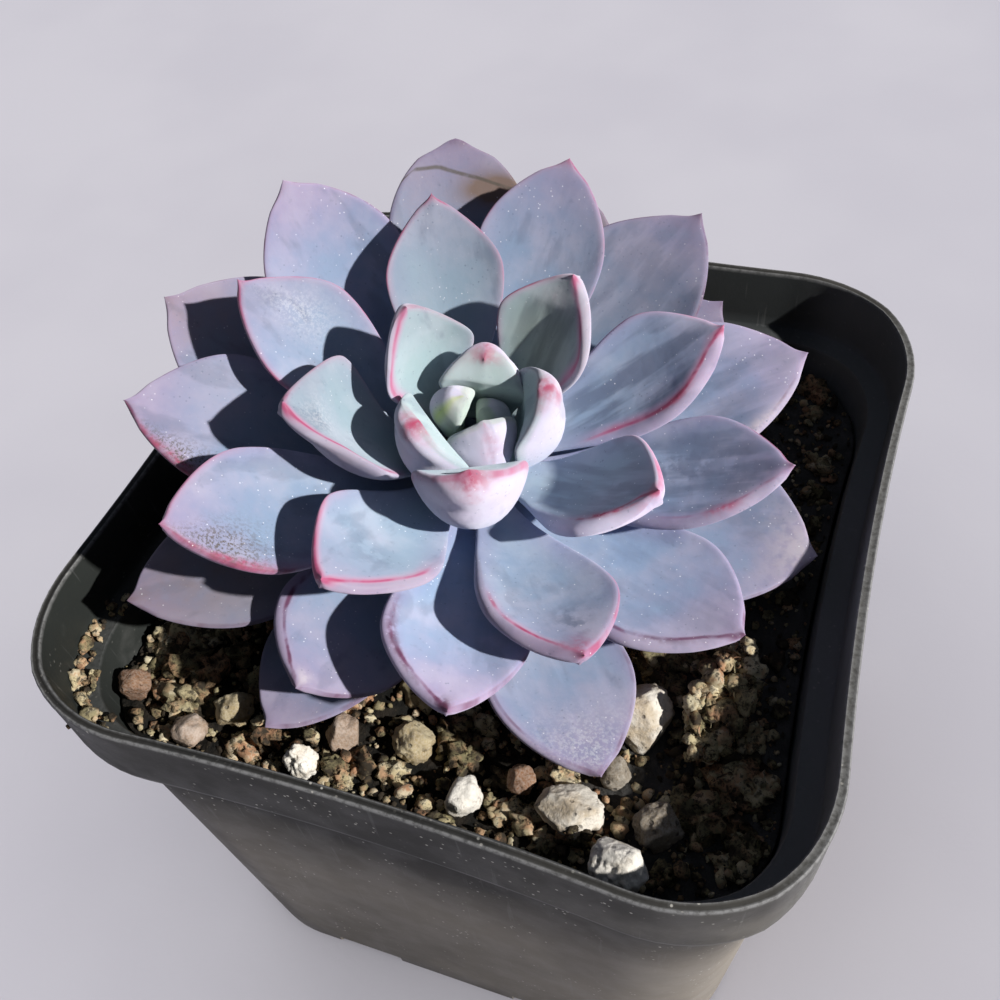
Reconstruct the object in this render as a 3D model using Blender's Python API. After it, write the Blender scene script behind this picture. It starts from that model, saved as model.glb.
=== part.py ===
"""Potted echeveria: 35 fleshy leaves in a tilted rosette on a short stem, in gritty soil in a square nursery pot.

Lengths here are millimetres, and each mesh is turned into metres as it is made. The origin is the centre of the
pot's flat underside, +Z is up, and the pot's sides lie along X and Y.
"""

import math

import bmesh
import bpy
import numpy as np
from mathutils import Matrix, Vector, noise

MM = 0.001
GAP = 0.3  # clear space between pieces that touch

# Pot
POT_HEIGHT = 60.0
RIM_WIDTH = 70.0
BODY_TOP_WIDTH = 65.2
BASE_WIDTH = 59.4
RIM_BAND = 8.0  # height of the wider band at the rim
BAND_TAPER = 0.3
WALL = 1.0
FLOOR = 1.4
CORNER_RADIUS = 14.6
BODY_CORNER_RADIUS = 12.2
BASE_CORNER_RADIUS = 12.0
SIDE_BOW = 1.6  # how far the middle of each side is drawn in
CORNER_STEPS = 5
SIDE_STEPS = 4
DRAIN_HOLE = 8.0
DRAIN_HOLE_OFFSET = 15.0
DRAIN_SLOT_LENGTH = 8.0
DRAIN_SLOT_HEIGHT = 2.0
DRAIN_SLOT_OFFSET = 11.0

# Soil
SOIL_LEVEL = 49.6
SOIL_WALL_GAP = 0.5
SOIL_MOUND = 1.2  # extra height round the stem
SOIL_RINGS = 13
SOIL_CORNER_STEPS = 6
SOIL_SIDE_STEPS = 8
CRUMB_SIZE = 3.2
CRUMB_HEIGHT = 1.5
SWELL_SIZE = 13.0
SWELL_HEIGHT = 1.1

# Loose stones: name, centre x and y, length, width, height, turn in degrees
STONES = (
    ("stone_cream_large", 14.2, -25.4, 6.4, 5.0, 4.4, 12),
    ("stone_pale_front", 19.5, -27.9, 5.2, 4.2, 3.8, -8),
    ("stone_grey", 21.3, -23.2, 5.0, 4.4, 4.0, 30),
    ("stone_pale_shaded", 17.4, -15.4, 6.2, 5.2, 5.0, 70),
    ("stone_yellow_round", -0.9, -23.4, 4.2, 3.6, 3.6, 50),
    ("stone_cream_upright", -9.2, -28.0, 3.2, 3.0, 4.2, 20),
    ("stone_pink", -6.9, -24.6, 3.4, 3.2, 3.4, 80),
    ("stone_white_small", 5.2, -26.6, 3.4, 3.0, 3.4, 60),
    ("stone_brown", 9.3, -24.0, 2.8, 2.6, 3.0, 15),
    ("stone_buff_small", 16.6, -21.0, 3.0, 2.8, 3.0, 40),
    ("stone_tan", -27.4, -25.4, 3.4, 2.8, 3.0, -20),
    ("stone_yellow_left", -17.4, -25.0, 3.8, 3.2, 3.4, 35),
    ("stone_buff_left", -20.6, -28.0, 3.4, 2.8, 2.8, 0),
)
STONE_LIFT = 0.15  # the share of a stone's height by which its centre stands above the soil
STONE_ROUGHNESS = 0.12

# Lump of fibrous peat that stands up under the right-hand leaves
PEAT_CLUMP_PLACE = (23.4, -13.4)
PEAT_CLUMP_SIZE = (4.0, 6.8, 6.0)
PEAT_CLUMP_TURN = -32.0

# Rosette
CROWN = Vector((-2.4, 0.2, 64.15))  # where the axis meets the innermost leaf's base
AXIS = Vector((0.162, -0.179, 0.970)).normalized()
LEAF_COUNT = 35
FIRST_TURN = 15.0
GOLDEN_TURN = 138.15
LEAF_STEP = 0.28  # distance along the axis from one leaf to the next
VIEW_TURN = 24.5  # direction that leaf turns are counted from

# Leaf sizes at some places in the spiral: leaf, length, lift, width, thickness, bend, cup, point
LEAF_STAGES = (
    (0, 5.0, 86.0, 3.4, 1.8, 30.0, 0.5, 1.1),
    (4, 12.0, 80.0, 7.8, 2.7, 60.0, 2.2, 1.1),
    (8, 16.5, 59.0, 9.8, 2.9, 50.0, 2.2, 1.15),
    (13, 22.6, 35.0, 11.6, 2.9, 34.0, 1.9, 1.1),
    (21, 28.2, 27.5, 12.8, 3.0, 24.0, 1.5, 1.0),
    (34, 27.9, 7.5, 12.4, 2.8, 14.0, 1.1, 0.9),
)
# Leaves that stray from the rule: leaf, turn and lift in degrees, length in millimetres, roll in degrees
LEAF_STRAYS = {
    1: (0, 0.5, 0.0, 0),
    2: (-1, 1.0, 0.0, -2),
    3: (-2, 0.0, 0.0, 2),
    4: (-7, -3.0, 0.0, 0),
    5: (2, 8.0, 0.5, -1),
    6: (6, -1.0, 0.0, 0),
    7: (1, 3.0, 0.0, 0),
    9: (9, -6.0, 0.0, 0),
    10: (2, -8.0, 0.0, 0),
    11: (2, 0.0, 0.0, 0),
    12: (-1, -1.5, 0.25, 3),
    13: (-2, 1.0, -0.5, 1),
    14: (-1, 1.5, -0.5, -1),
    15: (-4, 1.0, 1.0, -1),
    16: (-2, 1.0, 0.0, -1),
    17: (-1, 0.5, 1.75, -7),
    18: (-2, -1.5, 0.0, -6),
    19: (3, -1.0, 0.0, -9),
    20: (3, -2.0, -1.5, -11),
    21: (1, -1.5, -0.25, -8),
    22: (0, -1.0, 0.0, -6),
    23: (-3, -0.5, -0.25, -6),
    24: (-4, 0.5, 0.5, -1),
    25: (6, 0.0, -3.0, -13),
    26: (0, 0.5, 0.5, -3),
    27: (4, -0.5, 0.75, -7),
    28: (-1, -1.0, 0.25, -4),
    29: (1, 0.0, 0.0, -6),
    30: (2, 0.0, 1.25, 4),
    31: (-1, -0.5, 0.0, -1),
    32: (7, -0.5, 0.0, -4),
    33: (-25, -1.5, -1.75, 17),
    34: (-1, 0.0, 0.0, -1),
}
# Leaves that are broader or narrower than the rule, that have a blunter point, and that are plumper
WIDTH_STRAYS = {9: 0.96, 14: 0.97, 18: 0.95, 24: 1.03, 25: 0.92}
POINT_STRAYS = {24: 0.75}
THICKNESS_STRAYS = {7: 1.35}
WIDEST = 0.66  # share of the length at which a leaf is widest
BASE_WIDTH_SHARE = 0.30
BASE_THICKNESS = 1.2
FULLEST = 0.52  # share of the length at which a leaf is thickest
BACK_ROUNDNESS = 2.2
BACK_FULLNESS = 0.62
LEAF_STATIONS = (0.0, 0.12, 0.28, 0.45, 0.59, 0.72, 0.83, 0.91, 0.97)
LEAF_ACROSS_TOP = (-1.0, -0.55, 0.0, 0.55, 1.0)
LEAF_ACROSS_BACK = (0.99, 0.86, 0.5, 0.0, -0.5, -0.86, -0.99)

# Stem
STEM_CORE = 0.9
STEM_SPREAD = 3.3
STEM_SPREAD_LEAVES = 6.0
STEM_SIDES = 14
STEM_RADIUS = 3.2
STEM_NECK_LEVEL = 53.0
STEM_FOOT_LEVEL = 27.0


def clear_scene():
    for item in list(bpy.data.objects):
        bpy.data.objects.remove(item, do_unlink=True)


def material(name, color, roughness):
    found = bpy.data.materials.get(name)
    if found:
        return found
    made = bpy.data.materials.new(name)
    made.use_nodes = True
    shader = made.node_tree.nodes["Principled BSDF"]
    shader.inputs["Base Color"].default_value = (*color, 1.0)
    shader.inputs["Roughness"].default_value = roughness
    shader.inputs["Metallic"].default_value = 0.0
    return made


def add_object(name, points, faces, finish, sharp_angle=None):
    """An object from points in millimetres, shaded smooth, or smooth up to an angle in degrees."""
    mesh = bpy.data.meshes.new(name)
    mesh.from_pydata([Vector(p) * MM for p in points], [], faces)
    mesh.materials.append(finish)
    mesh.shade_smooth()
    if sharp_angle is not None:
        mesh.set_sharp_from_angle(angle=math.radians(sharp_angle))
    made = bpy.data.objects.new(name, mesh)
    bpy.context.scene.collection.objects.link(made)
    return made


def bridge(count, first, second):
    """Quads between two closed loops of `count` points that start at two indices."""
    return [
        (first + k, first + (k + 1) % count, second + (k + 1) % count, second + k)
        for k in range(count)
    ]


def rounded_square(width, radius, level, bow, corner_steps, side_steps):
    """A square with round corners and sides drawn in at the middle, counter-clockwise from +X."""
    half = width / 2
    centre = half - radius
    points = []
    for quarter in range(4):
        start = quarter * 90 - 45
        turn = Matrix.Rotation(math.radians(quarter * 90), 2)
        for step in range(1, side_steps):
            along = -centre + 2 * centre * step / side_steps
            points.append(turn @ Vector((half, along)))
        for step in range(corner_steps + 1):
            angle = math.radians(start + 45 + 90 * step / corner_steps) - math.radians(quarter * 90)
            corner = Vector((centre + radius * math.cos(angle), centre + radius * math.sin(angle)))
            points.append(turn @ corner)
    span = half - 0.3 * radius
    result = []
    for point in points:
        x, y = point
        in_x = bow * max(0.0, 1 - (y / span) ** 2) if abs(x) > abs(y) else 0.0
        in_y = bow * max(0.0, 1 - (x / span) ** 2) if abs(y) > abs(x) else 0.0
        result.append((x - math.copysign(in_x, x), y - math.copysign(in_y, y), level))
    return result


def pot_inside(level):
    """Inner width and corner radius of the pot's tapering body at a height."""
    foot = FLOOR + 0.8
    ledge = POT_HEIGHT - RIM_BAND + WALL
    share = (level - foot) / (ledge - foot)
    width = BASE_WIDTH + (BODY_TOP_WIDTH - BASE_WIDTH) * share
    radius = BASE_CORNER_RADIUS + (BODY_CORNER_RADIUS - BASE_CORNER_RADIUS) * share
    return width - 2 * WALL, radius - WALL


def pot_bow(level):
    """The bow fades out towards the flat base."""
    return SIDE_BOW * min(1.0, level / (POT_HEIGHT - RIM_BAND))


def pot_profile():
    """Outer skin from the base up, over the lip and down the inside: width, corner radius, height."""
    band_foot = POT_HEIGHT - RIM_BAND
    ledge = band_foot + WALL
    band_foot_width = RIM_WIDTH - BAND_TAPER
    return (
        (BASE_WIDTH - 1.6, BASE_CORNER_RADIUS - 0.8, 0.0),
        (BASE_WIDTH, BASE_CORNER_RADIUS, 0.8),
        (BODY_TOP_WIDTH, BODY_CORNER_RADIUS, band_foot),
        (band_foot_width - 0.8, CORNER_RADIUS - 0.5, band_foot),
        (band_foot_width, CORNER_RADIUS - 0.1, band_foot + 0.4),
        (RIM_WIDTH, CORNER_RADIUS, POT_HEIGHT - 0.2),
        (RIM_WIDTH - 0.4, CORNER_RADIUS - 0.2, POT_HEIGHT),
        (RIM_WIDTH - 2 * WALL + 0.2, CORNER_RADIUS - WALL + 0.1, POT_HEIGHT),
        (band_foot_width - 2 * WALL, CORNER_RADIUS - WALL - 0.1, ledge),
        (BODY_TOP_WIDTH - 2 * WALL, BODY_CORNER_RADIUS - WALL, ledge),
        (BASE_WIDTH - 2 * WALL, BASE_CORNER_RADIUS - WALL, FLOOR + 0.8),
        (BASE_WIDTH - 2 * WALL - 1.6, BASE_CORNER_RADIUS - WALL - 0.8, FLOOR),
    )


def pot_cutters():
    """One closed cutter mesh: round holes in the floor and slots through the foot of each side."""
    shape = bmesh.new()
    for x_side in (-1, 1):
        for y_side in (-1, 1):
            place = Matrix.Translation(Vector((x_side, y_side, 0)) * DRAIN_HOLE_OFFSET * MM)
            bmesh.ops.create_cone(
                shape, cap_ends=True, segments=16, radius1=DRAIN_HOLE / 2 * MM, radius2=DRAIN_HOLE / 2 * MM,
                depth=4 * FLOOR * MM, matrix=place,
            )
    for quarter in range(4):
        turn = Matrix.Rotation(math.radians(90 * quarter), 4, "Z")
        for side in (-1, 1):
            centre = Vector((BASE_WIDTH / 2, side * DRAIN_SLOT_OFFSET, 0.0)) * MM
            size = Matrix.Diagonal((6.0 * MM, DRAIN_SLOT_LENGTH * MM, 2 * DRAIN_SLOT_HEIGHT * MM, 1.0))
            bmesh.ops.create_cube(shape, size=1.0, matrix=turn @ Matrix.Translation(centre) @ size)
    mesh = bpy.data.meshes.new("drain_cutters")
    shape.to_mesh(mesh)
    shape.free()
    cutters = bpy.data.objects.new("drain_cutters", mesh)
    cutters.hide_render = True
    cutters.display_type = "WIRE"
    bpy.context.scene.collection.objects.link(cutters)
    return cutters


def make_pot():
    points = []
    faces = []
    count = 0
    for width, radius, level in pot_profile():
        loop = rounded_square(width, radius, level, pot_bow(level), CORNER_STEPS, SIDE_STEPS)
        count = len(loop)
        points += loop
    loops = len(points) // count
    for k in range(loops - 1):
        faces += bridge(count, k * count, (k + 1) * count)
    faces.append(tuple(reversed(range(count))))
    faces.append(tuple(range((loops - 1) * count, loops * count)))
    pot = add_object("pot", points, faces, material("pot_plastic", (0.035, 0.037, 0.040), 0.5), 35)
    cut = pot.modifiers.new("drain", "BOOLEAN")
    cut.operation = "DIFFERENCE"
    cut.object = pot_cutters()
    return pot


def soil_height(x, y):
    """Height of the soil's crumbly surface."""
    spot = Vector((x, y, 0.0))
    swell = noise.noise(spot / SWELL_SIZE) * SWELL_HEIGHT
    mound = SOIL_MOUND * math.exp(-(x * x + y * y) / 220)
    nearest = noise.voronoi(spot / CRUMB_SIZE)[0][0]
    crumb = CRUMB_HEIGHT * max(0.0, 0.45 - nearest)
    return SOIL_LEVEL + swell + mound + crumb


def stem_neck():
    """The point at which the slanting stem turns straight down into the soil."""
    return CROWN + AXIS * ((STEM_NECK_LEVEL - CROWN.z) / AXIS.z)


def soil_loop(level, trim=0.0):
    width, radius = pot_inside(level)
    width -= 2 * SOIL_WALL_GAP + trim
    return rounded_square(
        width, radius - SOIL_WALL_GAP, level, pot_bow(level), SOIL_CORNER_STEPS, SOIL_SIDE_STEPS
    )


def make_soil():
    neck = stem_neck()
    hole_radius = STEM_RADIUS + GAP + 0.1
    edge = soil_loop(SOIL_LEVEL)
    count = len(edge)
    mouth = []
    for x, y, _ in edge:
        angle = math.atan2(y, x)
        mouth.append((neck.x + hole_radius * math.cos(angle), neck.y + hole_radius * math.sin(angle)))
    points = [(x, y, STEM_FOOT_LEVEL - GAP) for x, y in mouth]
    for ring in range(SOIL_RINGS + 1):
        share = ring / SOIL_RINGS
        for (near_x, near_y), (far_x, far_y, _) in zip(mouth, edge):
            x = near_x * (1 - share) + far_x * share
            y = near_y * (1 - share) + far_y * share
            points.append((x, y, soil_height(x, y)))
    points += soil_loop(SOIL_LEVEL - 3)
    points += soil_loop(FLOOR + 1.2)
    points += soil_loop(FLOOR + GAP, 2.0)
    loops = len(points) // count
    faces = [tuple(range(count))]
    for k in range(loops - 1):
        faces += bridge(count, (k + 1) * count, k * count)
    faces.append(tuple(reversed(range((loops - 1) * count, loops * count))))
    return add_object("soil", points, faces, material("soil_peat", (0.045, 0.033, 0.024), 0.95), 60)


def stone_shape(name, place, size, turn, grow):
    """A lumpy closed stone, `grow` millimetres larger all round."""
    shape = bmesh.new()
    bmesh.ops.create_icosphere(shape, subdivisions=2, radius=1.0)
    seed = Vector(place) * 0.7
    rotation = Matrix.Rotation(math.radians(turn), 3, "Z")
    for vertex in shape.verts:
        direction = vertex.co.normalized()
        lump = 1 + STONE_ROUGHNESS * 2 * noise.noise(direction * 1.3 + seed)
        half = Vector((size[0] / 2, size[1] / 2, size[2] / 2))
        reach = Vector((direction.x * half.x, direction.y * half.y, direction.z * half.z)) * lump
        vertex.co = (Vector(place) + rotation @ (reach + direction * grow)) * MM
    mesh = bpy.data.meshes.new(name)
    shape.to_mesh(mesh)
    shape.free()
    return mesh


def make_stones(soil):
    """Stones that lie in the soil, each in its own nest."""
    nests = []
    for name, x, y, length, width, height, turn in STONES:
        place = (x, y, SOIL_LEVEL + 0.4 + height * STONE_LIFT)
        size = (length, width, height)
        mesh = stone_shape(name, place, size, turn, 0.0)
        mesh.shade_smooth()
        mesh.set_sharp_from_angle(angle=math.radians(50))
        color = (0.62, 0.55, 0.43) if "brown" not in name and "tan" not in name else (0.36, 0.20, 0.11)
        mesh.materials.append(material("stone_tan" if color[0] < 0.5 else "stone_pale", color, 0.9))
        stone = bpy.data.objects.new(name, mesh)
        bpy.context.scene.collection.objects.link(stone)
        nests.append(stone_shape(name + "_nest", place, size, turn, GAP))
    clump_x, clump_y = PEAT_CLUMP_PLACE
    clump_z = SOIL_LEVEL + PEAT_CLUMP_SIZE[2] * 0.3
    clump_mesh = stone_shape("peat_clump", (clump_x, clump_y, clump_z), PEAT_CLUMP_SIZE, PEAT_CLUMP_TURN, 0.0)
    clump_mesh.materials.append(material("peat_fibre", (0.22, 0.16, 0.09), 0.95))
    clump_mesh.shade_smooth()
    clump = bpy.data.objects.new("peat_clump", clump_mesh)
    bpy.context.scene.collection.objects.link(clump)
    nests.append(
        stone_shape("clump_nest", (clump_x, clump_y, clump_z), PEAT_CLUMP_SIZE, PEAT_CLUMP_TURN, GAP)
    )
    for nest in nests:
        cutter = bpy.data.objects.new(nest.name, nest)
        cutter.hide_render = True
        cutter.display_type = "WIRE"
        bpy.context.scene.collection.objects.link(cutter)
        cut = soil.modifiers.new(nest.name, "BOOLEAN")
        cut.operation = "DIFFERENCE"
        cut.object = cutter


def stage_value(leaf, column):
    """A leaf's value in a column of LEAF_STAGES, read between the two nearest stages."""
    ranks = [stage[0] for stage in LEAF_STAGES]
    return float(np.interp(leaf, ranks, [stage[column] for stage in LEAF_STAGES]))


def stem_reach(leaf):
    """Distance from the axis to the base of a leaf."""
    return STEM_CORE + STEM_SPREAD * (1 - math.exp(-leaf / STEM_SPREAD_LEAVES))


def rosette_frame():
    """Two directions square to the rosette's axis, the first one along the view's horizontal."""
    angle = math.radians(VIEW_TURN)
    side = Vector((math.cos(angle), math.sin(angle), 0.0))
    first = (side - AXIS * side.dot(AXIS)).normalized()
    return first, AXIS.cross(first)


def leaf_half_width(share, width, point):
    """Half the leaf's width at a share of its length: a narrow foot, then a broad blade with a point."""
    foot = BASE_WIDTH_SHARE * width
    if share < WIDEST:
        rise = math.sin(math.pi / 2 * share / WIDEST) ** 1.7
        return (foot + (width - foot) * rise) / 2
    past = (share - WIDEST) / (1 - WIDEST)
    return width * (1 - past ** 2) ** point / 2


def leaf_thickness(share, thickness):
    """Thickness at the middle of the blade, fullest a little past half the length."""
    foot = min(BASE_THICKNESS, thickness)
    if share < FULLEST:
        return foot + (thickness - foot) * math.sin(math.pi / 2 * share / FULLEST)
    past = (share - FULLEST) / (1 - FULLEST)
    return thickness * (1 - 0.7 * past ** 2.5)


def make_leaf(leaf):
    turn_stray, lift_stray, length_stray, roll_stray = LEAF_STRAYS.get(leaf, (0, 0.0, 0.0, 0))
    length = stage_value(leaf, 1) + length_stray
    lift = math.radians(stage_value(leaf, 2) + lift_stray)
    width = stage_value(leaf, 3) * WIDTH_STRAYS.get(leaf, 1.0)
    thickness = stage_value(leaf, 4) * THICKNESS_STRAYS.get(leaf, 1.0)
    bend = math.radians(stage_value(leaf, 5))
    cup = stage_value(leaf, 6)
    point = POINT_STRAYS.get(leaf, stage_value(leaf, 7))
    angle = math.radians(FIRST_TURN + GOLDEN_TURN * leaf + turn_stray)
    first, second = rosette_frame()
    outward = first * math.cos(angle) + second * math.sin(angle)
    level_across = AXIS.cross(outward)
    base = CROWN - AXIS * (LEAF_STEP * leaf) + outward * stem_reach(leaf)
    along = outward * math.cos(lift) + AXIS * math.sin(lift)
    level_upper = AXIS * math.cos(lift) - outward * math.sin(lift)
    roll = math.radians(roll_stray)
    upper = level_upper * math.cos(roll) - level_across * math.sin(roll)
    across = level_across * math.cos(roll) + level_upper * math.sin(roll)
    sag = length * bend / 8

    points = []
    for share in LEAF_STATIONS:
        slope = math.atan(-4 * sag * (1 - 2 * share) / length)
        ahead = along * math.cos(slope) + upper * math.sin(slope)
        above = upper * math.cos(slope) - along * math.sin(slope)
        middle = base + along * (length * share) - upper * (4 * sag * share * (1 - share))
        half = leaf_half_width(share, width, point)
        thick = leaf_thickness(share, thickness)
        rise = cup * (2 * half / width) ** 2
        top = 0.15 * thick
        for side in LEAF_ACROSS_TOP:
            height = top + (rise - top) * side ** 2
            points.append(middle + across * (half * side) + above * height)
        for side in LEAF_ACROSS_BACK:
            depth = thick * (1 - abs(side) ** BACK_ROUNDNESS) ** BACK_FULLNESS
            height = top + (rise - top) * side ** 2 - depth
            points.append(middle + across * (half * side) + above * height)
    count = len(LEAF_ACROSS_TOP) + len(LEAF_ACROSS_BACK)
    rings = len(LEAF_STATIONS)
    faces = [tuple(range(count))]
    for k in range(rings - 1):
        faces += bridge(count, (k + 1) * count, k * count)
    tip = len(points)
    points.append(base + along * length)
    last = (rings - 1) * count
    faces += [(last + (k + 1) % count, last + k, tip) for k in range(count)]
    share = leaf / (LEAF_COUNT - 1)
    color = (0.50 - 0.12 * share, 0.58 - 0.26 * share, 0.58 - 0.10 * share)
    finish = material("leaf_inner" if leaf < 8 else "leaf_outer", color, 0.55)
    return add_object(f"leaf_{leaf + 1:02d}", points, faces, finish, 60)


def make_stem():
    """A stem that tapers up under the leaf bases and stands upright in the soil."""
    first, second = rosette_frame()
    rings = []
    for leaf in (0, 3, 7, 12, 20, 34):
        lift = math.radians(stage_value(leaf, 2))
        inset = GAP + 0.5 * BASE_THICKNESS * math.sin(lift)
        radius = max(0.3, stem_reach(leaf) - inset)
        rings.append((CROWN - AXIS * (LEAF_STEP * leaf + 0.5), radius, first, second))
    neck = stem_neck()
    for level, radius in (
        (STEM_NECK_LEVEL, STEM_RADIUS),
        (STEM_FOOT_LEVEL + 4, STEM_RADIUS * 0.85),
        (STEM_FOOT_LEVEL, STEM_RADIUS * 0.5),
    ):
        turned_x = (first - Vector((0, 0, first.z))).normalized()
        turned_y = Vector((-turned_x.y, turned_x.x, 0.0))
        rings.append((Vector((neck.x, neck.y, level)), radius, turned_x, turned_y))
    points = []
    for centre, radius, x_way, y_way in rings:
        for k in range(STEM_SIDES):
            angle = 2 * math.pi * k / STEM_SIDES
            points.append(centre + (x_way * math.cos(angle) + y_way * math.sin(angle)) * radius)
    faces = [tuple(range(STEM_SIDES))]
    for k in range(len(rings) - 1):
        faces += bridge(STEM_SIDES, (k + 1) * STEM_SIDES, k * STEM_SIDES)
    faces.append(tuple(reversed(range((len(rings) - 1) * STEM_SIDES, len(rings) * STEM_SIDES))))
    return add_object("stem", points, faces, material("stem_green", (0.20, 0.22, 0.10), 0.7), 60)


def main():
    clear_scene()
    make_pot()
    soil = make_soil()
    make_stones(soil)
    make_stem()
    for leaf in range(LEAF_COUNT):
        make_leaf(leaf)


main()
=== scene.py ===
import math
import random

import bmesh
import bpy
import numpy as np
from mathutils import Matrix, Vector, noise
from mathutils.bvhtree import BVHTree


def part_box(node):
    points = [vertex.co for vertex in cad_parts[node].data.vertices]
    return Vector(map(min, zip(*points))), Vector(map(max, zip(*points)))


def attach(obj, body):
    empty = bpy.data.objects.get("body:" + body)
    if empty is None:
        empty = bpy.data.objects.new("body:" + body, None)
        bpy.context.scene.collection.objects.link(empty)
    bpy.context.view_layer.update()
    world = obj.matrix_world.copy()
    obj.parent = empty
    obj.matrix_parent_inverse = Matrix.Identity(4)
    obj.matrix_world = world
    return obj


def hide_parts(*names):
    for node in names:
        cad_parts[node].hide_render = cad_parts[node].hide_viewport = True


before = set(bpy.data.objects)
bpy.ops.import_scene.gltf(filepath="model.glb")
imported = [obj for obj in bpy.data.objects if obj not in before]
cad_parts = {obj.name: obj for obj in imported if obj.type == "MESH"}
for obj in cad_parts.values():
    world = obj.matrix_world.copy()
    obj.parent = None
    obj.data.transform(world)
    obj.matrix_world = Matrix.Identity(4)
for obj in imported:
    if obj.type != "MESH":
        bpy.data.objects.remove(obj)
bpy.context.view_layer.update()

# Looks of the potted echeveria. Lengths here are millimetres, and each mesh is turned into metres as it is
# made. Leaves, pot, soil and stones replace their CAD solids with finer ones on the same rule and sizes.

MM = 0.001

# Camera: turn to the left of +Y, tilt down and roll in degrees, place, and focal length in pixels of 1000
CAMERA_TURN = 24.49
CAMERA_TILT = 51.24
CAMERA_ROLL = -6.95
CAMERA_PLACE = (26.51, -59.11, 136.73)
CAMERA_FOCUS = 1096.7
CAMERA_FRAME = 1000
SENSOR_WIDTH = 36
NEAREST_SEEN = 0.005  # metres

# Light
SUN_WAY = Vector((0.820, -0.140, 0.568))
SUN_STRENGTH = 4.7
SUN_SOFTNESS = 1.5  # degrees
FLOOR_LIGHT = 2.85
FLOOR_LIGHT_SOFTNESS = 110  # degrees
SUN_COLOR = (1, 0.975, 0.945)
FLOOR_LIGHT_COLOR = (1, 0.98, 0.99)
FILL_COLOR = (0.70, 0.80, 1)
FILL_STRENGTH = 0.11
FLOOR_SIZE = 1600

# Rosette, as the CAD solids have it
CROWN = Vector((-2.4, 0.2, 64.15))
AXIS = Vector((0.162, -0.179, 0.970)).normalized()
LEAF_COUNT = 35
FIRST_TURN = 15
GOLDEN_TURN = 138.15
LEAF_STEP = 0.28
VIEW_TURN = 24.5

# Leaf sizes at some places in the spiral: leaf, and the columns named here
LENGTH, LIFT, WIDTH, THICKNESS, BEND, CUP, POINT = range(1, 8)
LEAF_STAGES = (
    (0, 5, 86, 3.4, 1.8, 30, 0.5, 1.1),
    (4, 12, 80, 7.8, 2.7, 60, 2.2, 1.1),
    (8, 16.5, 59, 9.8, 2.9, 50, 2.2, 1.15),
    (13, 22.6, 35, 11.6, 2.9, 34, 1.9, 1.1),
    (21, 28.2, 27.5, 12.8, 3, 24, 1.5, 1),
    (34, 27.9, 7.5, 12.4, 2.8, 14, 1.1, 0.9),
)
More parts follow.
